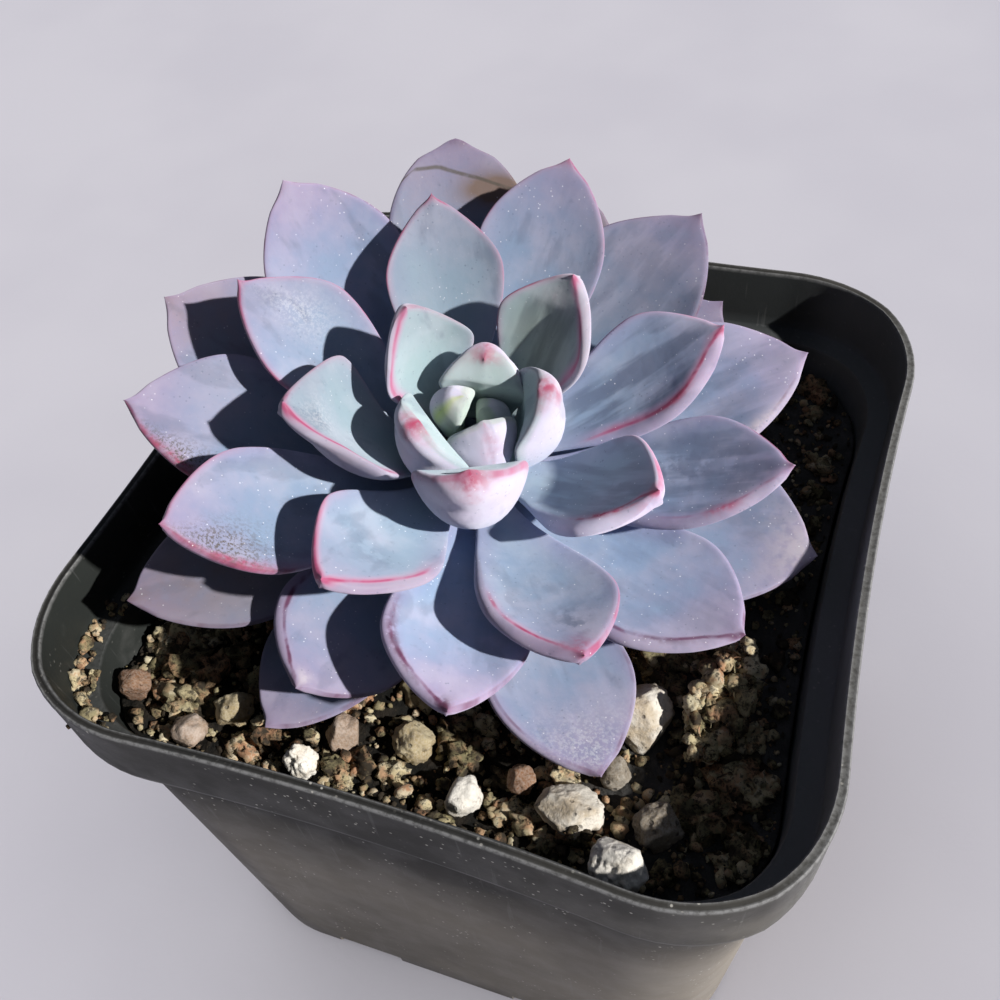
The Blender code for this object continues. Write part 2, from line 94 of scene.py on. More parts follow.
# How each leaf strays, from the innermost on: turn, lift and roll in degrees, length, drop along the stem and
# dip of the tip, factors of width, thickness and either side's width, then its own cup and point if any
LEAF_FORMS = (
    (-3.2, 5, -0.8, -0.3, 0.3, 0.3, 0.97, 1.49, 1, 1, 0.3, 0.6),
    (-4.5, 13.8, 2.8, 0.2, 0.4, 0.3, 0.86, 1.51, 1, 1, 0.7, 0.6),
    (-9.9, 6, 4, -0.4, 0.7, 0.7, 1.16, 1.4, 1, 1, 0.5, 0.6),
    (-7.4, 12, 12.4, -1.3, 0.4, 1.3, 1.16, 1.34, 1, 1, 1.2, 0.7),
    (8, 3.1, -6.2, -1.6, 0.9, 1.9, 1.16, 1.34, 1, 1, 0.7, 0.6),
    (-2.5, 10.7, 7.1, -1.3, 1, 1.3, 0.97, 1.28, 1, 1, 1.3, 0.6),
    (2.5, 1.7, -3.5, -1, 0.1, 0.9, 1.05, 0.84, 1.05, 0.94, 2.6, None),
    (-0.4, 7.7, 7.8, -0.7, 0.3, 1.9, 1.03, 1.5255, 1, 1, 0.9, 0.6),
    (0, 1.7, -0.4, -0.1, 0, 0.6, 0.97, 0.93, 0.96, 1.05, 2.4, None),
    (4.7, -2.5, 9.4, -0.6, 0.5, 1.3, 1.0656, 0.86, 1.05, 1.14, 2.9, None),
    (3, -6.9, -0.3, -0.2, 0.2, 0.3, 1, 0.93, 1.02, 1, 1.8, None),
    (0.4, -5.7, 0.9, 0, -0.1, 0.4, 0.98, 0.98, 0.99, 1.02, 2.2, None),
    (-0.8, -0.2, -8.1, -0.15, 0, 0.8, 0.99, 0.95, 1.04, 0.91, 2.3, None),
    (-2, 0.9, 0.3, -0.6, -0.2, 0.3, 0.92, 1.01, 1, 0.99, 1.7, None),
    (-2.9, -0.6, -1.2, -0.9, -0.1, 0.6, 0.9312, 0.96, 0.98, 1, 2, None),
    (-3.8, 0.7, -8.7, 1, 0.1, 0.1, 0.92, 0.97, 1.07, 0.95, 1.5, None),
    (-1.9, 3.3, 0.1, 0.4, -0.1, 0.2, 1, 1, 1.01, 0.97, 1.7, 0.88),
    (0.1, 1.6, -8, 1.85, -0.2, 0.1, 0.97, 0.99, 1, 0.97, 1.5, None),
    (-2, -1.5, -4.5, 0, 0, 0.1, 0.9215, 0.87, 1, 1.02, 1.4, None),
    (2.5, 0.6, -13.9, 0.8, 0.4, 0.1, 1.07, 1, 1.03, 0.97, 1.6, 0.88),
    (2.5, 1, -7.2, -1.6, 0.1, 0.2, 0.97, 1.02, 1, 0.99, 1.5, None),
    (2.1, -0.4, 0, -0.25, 0.4, 1, 1.05, 1.08, 1.04, 1.01, 2, None),
    (-1.8, -2.9, -5.9, -0.5, 0, 0.3, 1.02, 1.01, 1, 1, 1.9, None),
    (-2, -0.1, -5.6, -0.45, 0.1, -0.1, 1.01, 1.01, 1, 1, 1.3, None),
    (-3.1, 4.6, 4.5, 0.2, 0.4, 0.1, 1.1021, 1, 1, 1.01, 1.5, 0.58),
    (4.6, -0.9, -15.2, -3.2, 0.8, -0.6, 1.0212, 1.01, 0.98, 1, 0.4, None),
    (1.4, 1.3, 1.1, 0.8, 0.5, 0.8, 1.05, 1, 1.04, 1.03, 1.9, None),
    (3.7, 2.2, -10.9, 1.15, 0.7, 0.4, 1.14, 1, 1, 1.04, 1.9, None),
    (-0.1, -2.8, -6.7, 0.15, 0.3, 0, 1.02, 1.08, 1.02, 0.98, 1.3, None),
    (1, 0, -6, 0, 0, 0.15, 1, 1, 1, 1, None, None),
    (2, 0, 4, 1.25, 0, 0.15, 1, 1, 1, 1, None, None),
    (-2.7, 0.5, 0.9, 0.6, 0.1, -0.1, 1.17, 0.99, 1.17, 0.98, 1.8, None),
    (7, -0.5, -4, 0, 0, 0.15, 1, 1, 1, 1, None, None),
    (-25, -1.5, 17, -1.75, 0, 0.15, 1, 1, 1, 1, None, None),
    (-1, 0, -1, 0, 0, 0.15, 1, 1, 1, 1, None, None),
)
# The bud's leaves: crest along the face, shift outward, bend in degrees, and the foot's share of the width
BUD_FORMS = {
    0: (0.4, 0, 30, 0.6),
    1: (0.3, 0, 35, 0.6),
    2: (0, 0, 42, 0.6),
    3: (0.4, 0.6, 38, 0.6),
    4: (0, 0, 46, 0.6),
    5: (0, 0.5, 49, 0.6),
    7: (0, 0, 53, 0.5),
}
BUD_LEAVES = 8
WIDEST = 0.66
BASE_WIDTH_SHARE = 0.30
BASE_THICKNESS = 1.2
FULLEST = 0.52
FACE_SHARE = 0.15  # of the thickness lies over the middle line
THINNING = 0.7  # share of the thickness lost towards the tip
THIN_HALF_WIDTH = 0.9  # a leaf narrower than this to either side is thinner too
BACK_ROUNDNESS = 2.2
BACK_FULLNESS = (0.62, 0.42)  # of the bud's leaves and of the others
STEM_CORE = 0.9
STEM_SPREAD = 3.3
STEM_SPREAD_LEAVES = 6

# Fine leaf mesh
STATIONS = 58
LAST_STATION = 0.997
TIP_CROWDING = 1.35  # stations lie closer together towards the tip
TOP_POINTS = 27
BACK_POINTS = 23
MARGIN_RADIUS = 0.4
MUCRO_START = 0.935  # shares of the length between which the point draws in to a spike
MUCRO_FULL = 0.985
MUCRO_DRAW = 0.3
MUCRO_REACH = (0.03, 0.15)  # how far the spike stands out on the bud's leaves and on the others
DIP_START = 0.78
DIP_STARTS = {4: 0.70, 5: 0.70, 7: 0.72}
SURFACE_SWELL = 0.10
SWELL_LENGTH = 5
SWELL_WIDTH = 4
KEEL = 0.25
KEEL_SIDE = 0.10

# Tables by leaf. Pairs are for the left-hand and the right-hand margin, seen from the stem
# Width of the rolled margin below the blush line
MARGIN_BANDS = {
    6: (0.5, 0), 8: (0, 0.8), 9: (0.5, 0), 10: (0, 1.5), 12: (0.8, 0), 13: (0, 1.2),
    15: (0, 1), 18: (0, 0.9), 20: (0, 0.8), 23: (0, 1), 25: (0, 0.8), 26: (0, 0.5),
    28: (0.3, 0.5),
}
# Strength of the blush and of the line on the edge at stages of the spiral, strength of the blush by side,
# and the share of the length where it starts
BLUSH_STAGES = ((0, 0), (4, 0.35), (8, 0.6), (13, 0.6), (20, 0.45), (27, 0.3), (34, 0.25))
LINE_STAGES = ((0, 0), (4, 0.2), (8, 0.75), (13, 0.85), (20, 0.7), (34, 0.5))
BLUSH_SIDES = {
    3: (0.3, 0.3), 4: (0.3, 0.3), 5: (0.3, 0.3), 6: (3, 0.8), 8: (0.9, 1.6), 9: (1.7, 0.8),
    12: (2.2, 1.8), 13: (0.7, 2.2), 15: (1, 1.5), 17: (1.4, 1.6), 25: (1.4, 1.2),
}
BLUSH_START = 0.45
BLUSH_FADE = 0.35
BLUSH_TIP = 0.05  # share of the length that blushes at the tip
SPIKE_TIP = 0.022
BLUSH_STARTS = {6: 0.1, 8: 0.15, 9: 0.15, 11: 0.3, 13: 0.2, 14: 0.25, 25: 0.3}
# Dark broken line along the margin
BRUISES = {
    10: (0, 0.7), 13: (0, 0.8), 15: (0, 0.6), 17: (0.8, 0), 20: (0, 1), 22: (0.9, 0),
    23: (0, 0.9), 25: (0, 1),
}
# Share of bare skin on the leaves that have lost much of their bloom, partly painted shade on the leaves
# turned away from the light
DULL_AND_SHADE = {
    8: 0.8, 10: 0.5, 13: 0.85, 15: 0.1, 16: 0.15, 18: 0.7, 20: 0.1, 21: 0.3, 23: 0.25, 26: 0.35, 28: 0.15,
    31: 0.15,
}
# Factor of each leaf's colour: partly how thickly the pale bloom lies, partly painted light that brightens
# leaves the lamp lights too weakly and darkens others
BUD_LIGHT_GAIN = 1.3
LEAF_LIGHT_GAIN = {
    6: 1.08, 8: 1.15, 9: 0.98, 10: 1.6, 11: 0.94, 12: 1.1, 13: 1.4, 14: 1.08, 15: 1.12, 16: 1.05, 17: 1.05,
    18: 1.35, 19: 1.18, 20: 1.36, 21: 0.88, 23: 1.38, 24: 0.84, 26: 1.32, 27: 1.1, 28: 1.12, 29: 0.9,
    30: 0.74, 31: 1.18, 32: 0.88, 33: 0.9, 34: 0.9,
}
# Marks: leaf, kind, face, share of the length, side, reach along, reach across, strength
MARKS = (
    (1, "green", "back", 0.70, 0.72, 0.4, 0.15, 0.9),
    (2, "red", "back", 0.9, 0, 0.3, 0.3, 0.35),
    (3, "red", "both", 1, 0, 0.05, 1.5, 0.75),
    (4, "red", "both", 1, 0, 0.045, 1.5, 1),
    (4, "red", "back", 0.95, 0.1, 0.05, 0.35, 0.6),
    (5, "red", "both", 1, 0, 0.05, 1.5, 1),
    (5, "red", "back", 0.93, -0.1, 0.06, 0.35, 0.6),
    (7, "red", "both", 1, 0, 0.045, 1.5, 1),
    (7, "red", "back", 0.93, 0, 0.05, 0.22, 0.6),
    (8, "green", "top", 0.5, 0, 0.5, 1, 0.25),
    (8, "pale", "top", 0.86, 0.1, 0.06, 0.5, 0.5),
    (9, "powder", "top", 0.82, 0.1, 0.10, 0.5, 0.8),
    (9, "rubbed", "top", 0.80, 0.1, 0.06, 0.25, 0.8),
    (10, "red", "top", 0.98, -0.2, 0.05, 0.9, 0.9),
    (10, "red", "top", 0.80, -0.66, 0.11, 0.08, 1.3),
    (12, "rubbed", "top", 0.70, 0.1, 0.12, 0.3, 0.5),
    (13, "red", "top", 0.74, -0.78, 0.06, 0.06, 1.2),
    (14, "powder", "top", 0.76, -0.3, 0.14, 0.35, 0.9),
    (15, "red", "top", 0.96, 0, 0.05, 0.6, 1),
    (15, "rubbed", "top", 0.80, 0.2, 0.10, 0.3, 1),
    (17, "scuff", "top", 0.83, 0.55, 0.12, 0.4, 1),
    (17, "red", "top", 0.84, 0.92, 0.14, 0.1, 1),
    (18, "red", "top", 0.80, -0.84, 0.05, 0.1, 0.9),
    (18, "rubbed", "top", 0.55, 0.1, 0.3, 0.35, 0.9),
    (20, "dark", "top", 0.76, -0.86, 0.15, 0.07, 0.8),
    (20, "dark", "top", 0.985, -0.5, 0.03, 0.7, 1),
    (22, "scuff", "top", 0.80, 0.72, 0.12, 0.22, 1),
    (22, "red", "top", 0.84, 0.92, 0.14, 0.14, 1),
    (23, "dark", "top", 0.82, -0.84, 0.08, 0.05, 0.6),
    (24, "tan", "top", 0.83, -0.62, 0.05, 0.5, 2),
    # leaf 25's pale tip is a painted highlight
    (25, "pale", "top", 0.96, 0, 0.03, 0.5, 0.8),
    (26, "pale", "top", 0.76, -0.9, 0.12, 0.12, 1),
    (27, "tan", "top", 0.9, 0, 0.25, 1, 0.45),
    (28, "powder", "top", 0.92, 0, 0.12, 1, 1),
    (29, "tan", "top", 0.9, 0, 0.2, 1, 0.8),
    (30, "tan", "top", 0.85, 0, 0.5, 1, 0.6),
    (31, "pale", "top", 0.97, 0, 0.12, 1, 0.9),
)
# A crease over one leaf's face: side and share of the length of its turning points
NO_FOLD = 9
CREASES = {24: ((-1, 0.82), (-0.4, 0.87), (-0.1, 0.885), (0.4, 0.91), (0.9, 0.90), (1, 0.86))}
MARK_KINDS = ("red", "dark", "scuff", "powder", "rubbed", "tan", "pale", "green")

# Pot, as the CAD solid has it
POT_HEIGHT = 60
RIM_WIDTH = 70
BODY_TOP_WIDTH = 65.2
BASE_WIDTH = 59.4
RIM_BAND = 8
BAND_TAPER = 0.3
WALL = 1
FLOOR = 1.4
CORNER_RADIUS = 14.6
BODY_CORNER_RADIUS = 12.2
BASE_CORNER_RADIUS = 12
SIDE_BOW = 1.6
CORNER_STEPS = 16
SIDE_STEPS = 14
FOOT_EDGE = 0.8  # rounding of the foot's edge
SHARP_ANGLE = 50
DRAIN_HOLE = 8
DRAIN_HOLE_OFFSET = 15
DRAIN_SLOT_LENGTH = 8
DRAIN_SLOT_HEIGHT = 2
DRAIN_SLOT_OFFSET = 11

BODY_STEPS = 12
# Rows of the skin at the band's foot: more width, radius and height than the foot has, and wear, partly a
# painted highlight
BAND_ROWS = (
    (-0.8, -0.5, 0, 0), (-0.25, -0.2, 0.12, 0.7), (0, -0.1, 0.35, 0.3), (0.05, -0.1, 0.8, 0),
    (0.1, -0.1, 4, 0),
)
# Rows over the lip: less width, radius and height than the rim has, wear with a painted highlight, and share
# of the inner side's look
LIP_ROWS = (
    (0.05, 0, 0.9, 0, 0), (0, 0, 0.35, 0.1, 0), (0.1, 0.05, 0.12, 0.9, 0),
    (0.3, 0.15, 0, 1, 0), (0.6, 0.3, 0.02, 0.1, 0), (1.1, 0.55, 0.06, 0, 0),
    (1.35, 0.7, 0.01, 0.2, 0), (1.55, 0.78, 0, 0.8, 0), (1.75, 0.9, 0.1, 0.5, 0.5),
    (1.85, 0.95, 0.4, 0, 1),
)

# Soil
SOIL_LEVEL = 49.6
SOIL_RINGS = 110
CLOD_BAND = -11  # clods lie thickly in front of this place
CLOD_SHARE_BEHIND = 0.3
SOIL_SINK = 0.7  # the soil between the crumbs lies this much lower
SOIL_WALL_GAP = 0.3
SOIL_SWELL_SPACING = 13
SOIL_SWELL = 1.1
SOIL_MOUND = 1.2  # how much higher the soil is at the middle
SOIL_MOUND_REACH = 220  # square millimetres
SOIL_LUMP_SPACING = 3.2
SOIL_LUMP = 1.5
SOIL_CRUMB_SPACING = 1.6
SOIL_CRUMB = 0.5
STEM_NECK_LEVEL = 53
STEM_HOLE_RADIUS = 3.7
STEM_HOLE_FOOT = 27

# Stones' skins: main colour, stain, share of the stain, strength of the pits
STONE_SKINS = {
    "cream": ((0.76, 0.71, 0.62), (0.50, 0.41, 0.29), 0.2, 0.6),
    "white": ((0.86, 0.82, 0.74), (0.66, 0.58, 0.46), 0.1, 0.4),
    "yellow": ((0.60, 0.52, 0.33), (0.36, 0.28, 0.15), 0.45, 0.6),
    "grey": ((0.40, 0.36, 0.30), (0.22, 0.18, 0.13), 0.45, 0.7),
    "pink": ((0.56, 0.46, 0.39), (0.34, 0.24, 0.17), 0.45, 0.6),
    "brown": ((0.36, 0.20, 0.11), (0.20, 0.10, 0.05), 0.4, 0.5),
}
# Stones: skin, seed, roughness, and number of sides broken flat
STONE_LOOKS = {
    "stone_cream_large": ("cream", 11, 0.22, 8),
    # the front stone's whiter skin is partly painted light on its weakly lit front face
    "stone_pale_front": ("white", 12, 0.18, 8),
    "stone_grey": ("grey", 13, 0.20, 7),
    "stone_pale_shaded": ("cream", 14, 0.22, 7),
    "stone_yellow_round": ("yellow", 15, 0.25, 5),
    "stone_cream_upright": ("white", 16, 0.30, 7),
    "stone_pink": ("pink", 17, 0.30, 6),
    "stone_white_small": ("white", 18, 0.25, 6),
    "stone_buff_small": ("grey", 19, 0.25, 6),
    "stone_yellow_left": ("yellow", 20, 0.30, 6),
    "stone_buff_left": ("pink", 21, 0.25, 6),
    "stone_brown": ("brown", 22, 0.25, 6),
    "stone_tan": ("brown", 23, 0.25, 5),
}
# Stones that lie a little off their CAD node: shift, and factor of the size
STONE_FITS = {
    "stone_cream_large": ((-0.1, 0, 0.3), 0.9),
    "stone_pale_front": ((-0.4, -1.3, 2.3), 1),
    "stone_grey": ((-0.1, -1, -0.1), 0.95),
}
FINER_STONE = 3.6  # stones larger than this have a finer mesh

# Lumps: how far out their flat sides lie, and the least distances from the wall and, as a share of the size,
# from leaves, large stones and the clump
FLAT_SIDES = (0.64, 0.86)
LUMP_WALL_GAP = 0.4
LUMP_FREE_SHARE = 0.62
# Clods: name, seed. Their number, the range of their radii, and the number of shapes
CLODS = (("grit_clods_left", 5), ("grit_clods_right", 9))
CLOD_NUMBER = 190
CLOD_RADII = (0.9, 2.1)
CLOD_KINDS = 9
# Grit: name, slot, seed, number, sizes, subdivisions, and its height over the soil as a share of its size
GRIT = (
    ("grit_coarse", "stone_pale", 6, 400, (0.9, 2), 3, (0, 0.4)),
    ("grit_medium", "soil_peat", 8, 1900, (0.5, 1.1), 2, (0.1, 0.8)),
    ("grit_fine", "soil_peat", 7, 4600, (0.25, 0.6), 1, (0.2, 1)),
)

# Crumbs on the ledge of the pot: place and size, with finer ones around each
LEDGE_LEVEL = 53
LEDGE_SEED = 41
LEDGE_FINER = 11
LEDGE_CRUMBS = (
    (-32.4, -22.5, 1.1), (-32.3, -24.4, 1.6), (-31.7, -26.2, 1.3), (-30.8, -27.9, 1.8), (-29.6, -29.3, 1.4),
    (-28, -30.5, 1.6), (-26, -31.4, 1.1), (-32.2, -20, 0.9),
)
# Peat on the largest stone
DIRT_SEED = 51
DIRT_CRUMBS = 60

# Fibrous clump of peat: the ends and radius of its ridge, numbers of lumps and fibres, and pale chips on it
CLUMP_TOP = (24.6, -8.6, 53.2)
CLUMP_FOOT = (22.8, -17.4, 51.2)
CLUMP_RADIUS = 2.1
CLUMP_SEED = 31
CLUMP_LUMPS = 120
CLUMP_FIBRES = 260
CLUMP_CHIPS = (
    (21.4, -14.6, 53.6, 1.6, 1), (21.6, -13.6, 53.7, 1.1, 1), (22.4, -18, 52.2, 1.2, 0.9),
    (25, -8.9, 54.9, 1.1, 0.95), (22, -17.2, 52.4, 1, 0.9), (25.4, -10.4, 54.2, 1, 0.9),
)


def add_mesh(name, points, faces, finish, replaced=()):
    """A smooth-shaded piece from points in millimetres, riding on the part and standing for CAD nodes."""
    mesh = bpy.data.meshes.new(name)
    mesh.from_pydata([tuple(p) for p in np.asarray(points, float) * MM], [], faces)
    mesh.materials.append(finish)
    mesh.shade_smooth()
    piece = bpy.data.objects.new(name, mesh)
    bpy.context.scene.collection.objects.link(piece)
    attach(piece, "root")
    if replaced:
        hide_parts(*replaced)
    return piece


def add_values(piece, name, values):
    """A value at each point of a mesh, for its material to read."""
    layer = piece.data.attributes.new(name, "FLOAT", "POINT")
    layer.data.foreach_set("value", np.asarray(values, np.float32))


def bridge(count, first, second):
    """Faces between two loops of points."""
    return [(first + k, first + (k + 1) % count, second + (k + 1) % count, second + k) for k in range(count)]


# Materials


class Shades:
    """A material's nodes, built by short calls. `color` is the colour so far."""

    def __init__(self, name):
        self.material = bpy.data.materials.new(name)
        self.material.use_nodes = True
        self.tree = self.material.node_tree
        self.shader = self.tree.nodes["Principled BSDF"]
        self.place = self.node("ShaderNodeTexCoord").outputs["Object"]
        self.color = None

    def node(self, kind, **settings):
        made = self.tree.nodes.new(kind)
        for key, value in settings.items():
            setattr(made, key, value)
        return made

    def put(self, socket, value):
        if isinstance(value, bpy.types.NodeSocket):
            self.tree.links.new(value, socket)
        elif isinstance(value, tuple) and len(value) == 3 and socket.type == "RGBA":
            socket.default_value = (*value, 1)
        else:
            socket.default_value = value

    def value(self, name):
        return self.node("ShaderNodeAttribute", attribute_name=name).outputs["Fac"]

    def math(self, operation, first, second=0, clamp=False):
        made = self.node("ShaderNodeMath", operation=operation, use_clamp=clamp)
        self.put(made.inputs[0], first)
        self.put(made.inputs[1], second)
        return made.outputs[0]

    def times(self, first, *others):
        for other in others:
            first = self.math("MULTIPLY", first, other, clamp=True)
        return first

    def axis(self, letter):
        """X, Y or Z of the place, in metres."""
        made = self.node("ShaderNodeSeparateXYZ")
        self.put(made.inputs[0], self.place)
        return made.outputs[letter]

    def ramp(self, source, low, high, start=0, end=1):
        """`source` between two limits turned smoothly into a value from start to end."""
        made = self.node("ShaderNodeMapRange", interpolation_type="SMOOTHSTEP", clamp=True)
        self.put(made.inputs["Value"], source)
        self.put(made.inputs["From Min"], low)
        self.put(made.inputs["From Max"], high)
        self.put(made.inputs["To Min"], start)
        self.put(made.inputs["To Max"], end)
        return made.outputs["Result"]

    def mix(self, share, first, second):
        made = self.node("ShaderNodeMix", data_type="RGBA", clamp_factor=True)
        self.put(made.inputs[0], share)
        self.put(made.inputs[6], first)
        self.put(made.inputs[7], second)
        return made.outputs[2]

    def coat(self, share, color):
        """Lays a share of another colour over the colour so far."""
        self.color = self.mix(share, self.color, color)

    def noise(self, vector, scale, detail, roughness=0.5):
        made = self.node("ShaderNodeTexNoise")
        self.put(made.inputs["Vector"], vector)
        made.inputs["Scale"].default_value = scale
        made.inputs["Detail"].default_value = detail
        made.inputs["Roughness"].default_value = roughness
        return made.outputs["Fac"]

    def clouds(self, size, detail=4, roughness=0.55):
        """Noise with clouds of about `size` millimetres."""
        return self.noise(self.place, 1000 / size, detail, roughness)

    def scratches(self, size, detail, stretch):
        """Noise drawn out upward."""
        made = self.node("ShaderNodeMapping")
        self.put(made.inputs["Vector"], self.place)
        made.inputs["Scale"].default_value = (1, 1, stretch)
        return self.noise(made.outputs["Vector"], 1000 / size, detail)

    def streaks(self, length, width, detail=4):
        """Noise drawn out along each leaf, about `length` by `width` millimetres."""
        joined = self.node("ShaderNodeCombineXYZ")
        self.put(joined.inputs[0], self.math("DIVIDE", self.value("along"), length))
        self.put(joined.inputs[1], self.math("DIVIDE", self.value("across"), width))
        self.put(joined.inputs[2], self.math("MULTIPLY", self.value("tone"), 97))
        return self.noise(joined.outputs[0], 1, detail)

    def dots(self, spacing, reach, share=1):
        """Specks about `spacing` millimetres apart, `reach` across, on a share of the cells."""
        made = self.node("ShaderNodeTexVoronoi")
        self.put(made.inputs["Vector"], self.place)
        made.inputs["Scale"].default_value = 1000 / spacing
        near = self.ramp(made.outputs["Distance"], reach * 0.5 / spacing, reach / spacing, 1, 0)
        if share >= 1:
            return near
        split = self.node("ShaderNodeSeparateColor")
        self.put(split.inputs[0], made.outputs["Color"])
        chosen = self.math("LESS_THAN", split.outputs[0], share)
        return self.times(near, chosen)

    def bump(self, height, depth, under=None):
        """Relief of `depth` millimetres."""
        made = self.node("ShaderNodeBump")
        self.put(made.inputs["Height"], height)
        made.inputs["Distance"].default_value = depth * MM
        made.inputs["Strength"].default_value = 1
        if under is not None:
            self.put(made.inputs["Normal"], under)
        return made.outputs["Normal"]

    def finish(self, roughness, normal, **settings):
        self.put(self.shader.inputs["Base Color"], self.color)
        self.put(self.shader.inputs["Roughness"], roughness)
        self.put(self.shader.inputs["Normal"], normal)
        for name, value in settings.items():
            self.shader.inputs[name.replace("_", " ")].default_value = value
        return self.material


LAVENDER = (0.33, 0.32, 0.475)
LILAC_TIP = (0.375, 0.31, 0.46)
BLUE_GREY = (0.275, 0.365, 0.50)
MINT = (0.37, 0.48, 0.50)
BUD_GREEN = (0.42, 0.50, 0.42)
BACK_LILAC = (0.34, 0.28, 0.40)
BACK_WHITE = (0.54, 0.52, 0.62)
ROSE = (0.50, 0.19, 0.31)
ROSE_LILAC = (0.53, 0.34, 0.47)
OUTER_LILAC = (0.42, 0.33, 0.47)
CRIMSON = (0.46, 0.09, 0.20)
DEEP_CRIMSON = (0.28, 0.035, 0.085)
PLUM = (0.14, 0.045, 0.10)
RED = (0.40, 0.07, 0.14)
WINE = (0.09, 0.03, 0.06)
BARE_AND_SHADE = (0.12, 0.15, 0.23)  # where the powdery bloom is rubbed off, and the bluish painted shade of leaves turned from the light
POWDER = (0.66, 0.67, 0.70)
TAN = (0.27, 0.19, 0.16)
PALE_SCAR_AND_HIGHLIGHT = (0.62, 0.57, 0.62)
LIME = (0.42, 0.50, 0.16)
SCUFF = (0.13, 0.11, 0.09)
WHITE_GRAIN = (0.92, 0.92, 0.95)


def leaf_material():
    s = Shades("leaf_bloom")
    tone = s.value("tone")
    share = s.value("share")
    back = s.value("back")
    rim = s.value("rim")
    cloud = s.clouds(5)
    fine = s.clouds(0.8, 3)
    streak = s.streaks(9, 1.6, 3)

    # Face: blue-grey or mint towards the base and the middle, lavender towards margins and tip
    inner = s.mix(s.ramp(tone, 0, 0.16), BUD_GREEN, MINT)
    middle = s.mix(s.ramp(tone, 0.15, 0.45), inner, BLUE_GREY)
    outer = s.mix(s.ramp(share, 0.75, 1), LAVENDER, LILAC_TIP)
    reach = s.math("ADD", share, s.math("MULTIPLY", s.math("SUBTRACT", cloud, 0.5), 0.9))
    away = s.ramp(reach, 0.45, 1)
    rim_near = s.ramp(rim, 0.3, 3.2, 1, 0)
    near_edge = s.math("MAXIMUM", away, s.times(rim_near, 0.7))
    face = s.mix(s.times(near_edge, s.ramp(tone, 0.12, 0.6, 0.15, 1)), middle, outer)

    # Back: pinkish white on the bud's leaves, lilac on the outer ones
    rear = s.mix(s.ramp(tone, 0.22, 0.4), BACK_WHITE, BACK_LILAC)
    rear = s.mix(s.ramp(share, 0.75, 0.2, 0, 0.6), rear, BLUE_GREY)
    inset = s.value("inset")
    rolled = s.ramp(inset, -0.30, -0.02, 1, 0)
    s.color = s.mix(s.math("MAXIMUM", back, s.times(rolled, 0.85)), face, rear)

    # Bloom: soft pale clouds, thin streaks, and the bare darker skin where it's rubbed off, partly painted
    # shade
    s.coat(s.ramp(cloud, 0.38, 0.68, 0, 0.22), POWDER)
    bare_and_shade = s.times(s.value("dull"), s.ramp(streak, 0.40, 0.58, 0.15, 1), s.ramp(rim, 0.5, 2.4, 0.25, 1))
    s.coat(s.times(bare_and_shade, 0.85), BARE_AND_SHADE)
    thin = s.times(s.ramp(s.streaks(6, 2.6), 0.54, 0.66), s.ramp(share, 0.25, 0.5))
    s.coat(s.times(thin, 0.28), BARE_AND_SHADE)
    rubbed = s.times(s.value("rubbed"), s.ramp(s.clouds(1.8), 0.40, 0.56))
    s.coat(s.times(rubbed, 0.7), BARE_AND_SHADE)
    s.coat(s.ramp(fine, 0.60, 0.78, 0, 0.20), BARE_AND_SHADE)
    powder = s.times(s.value("powder"), s.ramp(s.clouds(0.3, 3, 0.75), 0.44, 0.60))
    s.coat(s.times(powder, 0.5), POWDER)

    # Blush: a broad soft one along the margins, stronger towards the edge, and a thin broken line on the edge
    s.coat(s.value("green"), LIME)
    lilac = s.mix(s.ramp(tone, 0.35, 0.6), ROSE_LILAC, OUTER_LILAC)
    broken = s.ramp(s.streaks(3, 2, 4), 0.32, 0.62, 0.5, 1)
    near = s.times(s.ramp(inset, 0, s.value("reach"), 1, 0), s.ramp(inset, -0.5, -0.05, 0.25, 1))
    blush = s.times(s.value("blush"), near)
    s.coat(s.times(blush, broken), lilac)
    s.coat(s.times(s.ramp(blush, 0.5, 1.1), s.times(broken, 0.75)), ROSE)
    edge = s.mix(s.ramp(tone, 0.42, 0.62), CRIMSON, PLUM)
    from_line = s.math("ABSOLUTE", inset)
    line = s.times(s.value("line"), s.ramp(from_line, 0.05, 0.24, 1, 0), broken)
    line = s.math("MAXIMUM", line, s.value("spike"))
    s.coat(s.times(line, s.ramp(s.streaks(3.5, 2.5, 4), 0.40, 0.60, 0.2, 1)), edge)
    uneven = s.ramp(s.streaks(2.6, 1.2, 4), 0.42, 0.58, 0.12, 1)
    bruise = s.times(s.value("bruise"), s.ramp(from_line, 0.05, 0.36, 1, 0), uneven)
    s.coat(s.times(bruise, 0.85), s.mix(s.ramp(tone, 0.42, 0.55), DEEP_CRIMSON, PLUM))

    # Spots and scars
    red = s.times(s.value("red"), s.ramp(s.clouds(0.9), 0.35, 0.6, 0.35, 1))
    dark = s.times(s.value("dark"), s.ramp(fine, 0.35, 0.55))
    scuff = s.times(s.value("scuff"), s.ramp(s.clouds(0.25, 3, 0.7), 0.46, 0.60))
    tan = s.times(s.value("tan"), s.ramp(cloud, 0.3, 0.6, 0.5, 1))
    pale = s.times(s.value("pale"), s.ramp(fine, 0.3, 0.6, 0.4, 1))
    for share_of, shade in ((red, RED), (dark, WINE), (scuff, SCUFF), (tan, TAN), (pale, PALE_SCAR_AND_HIGHLIGHT)):
        s.coat(share_of, shade)
    fold = s.math("ABSOLUTE", s.value("fold"))
    crease = s.times(s.ramp(fold, 0.06, 0.30, 1, 0), s.ramp(s.clouds(1.2, 3), 0.30, 0.55, 0.45, 1))
    s.coat(s.times(crease, 0.85), SCUFF)

    # White grains of bloom and dark pores, in patches
    specks = s.times(s.dots(0.5, 0.075, 0.62), s.ramp(s.clouds(4, 2), 0.44, 0.60, 0.10, 1))
    s.coat(s.times(specks, s.ramp(tone, 0.1, 0.4, 0.3, 0.75)), WHITE_GRAIN)
    pores = s.times(s.dots(0.6, 0.11), s.ramp(s.clouds(3.6, 2), 0.5, 0.62))
    s.coat(s.times(pores, 0.4), BARE_AND_SHADE)
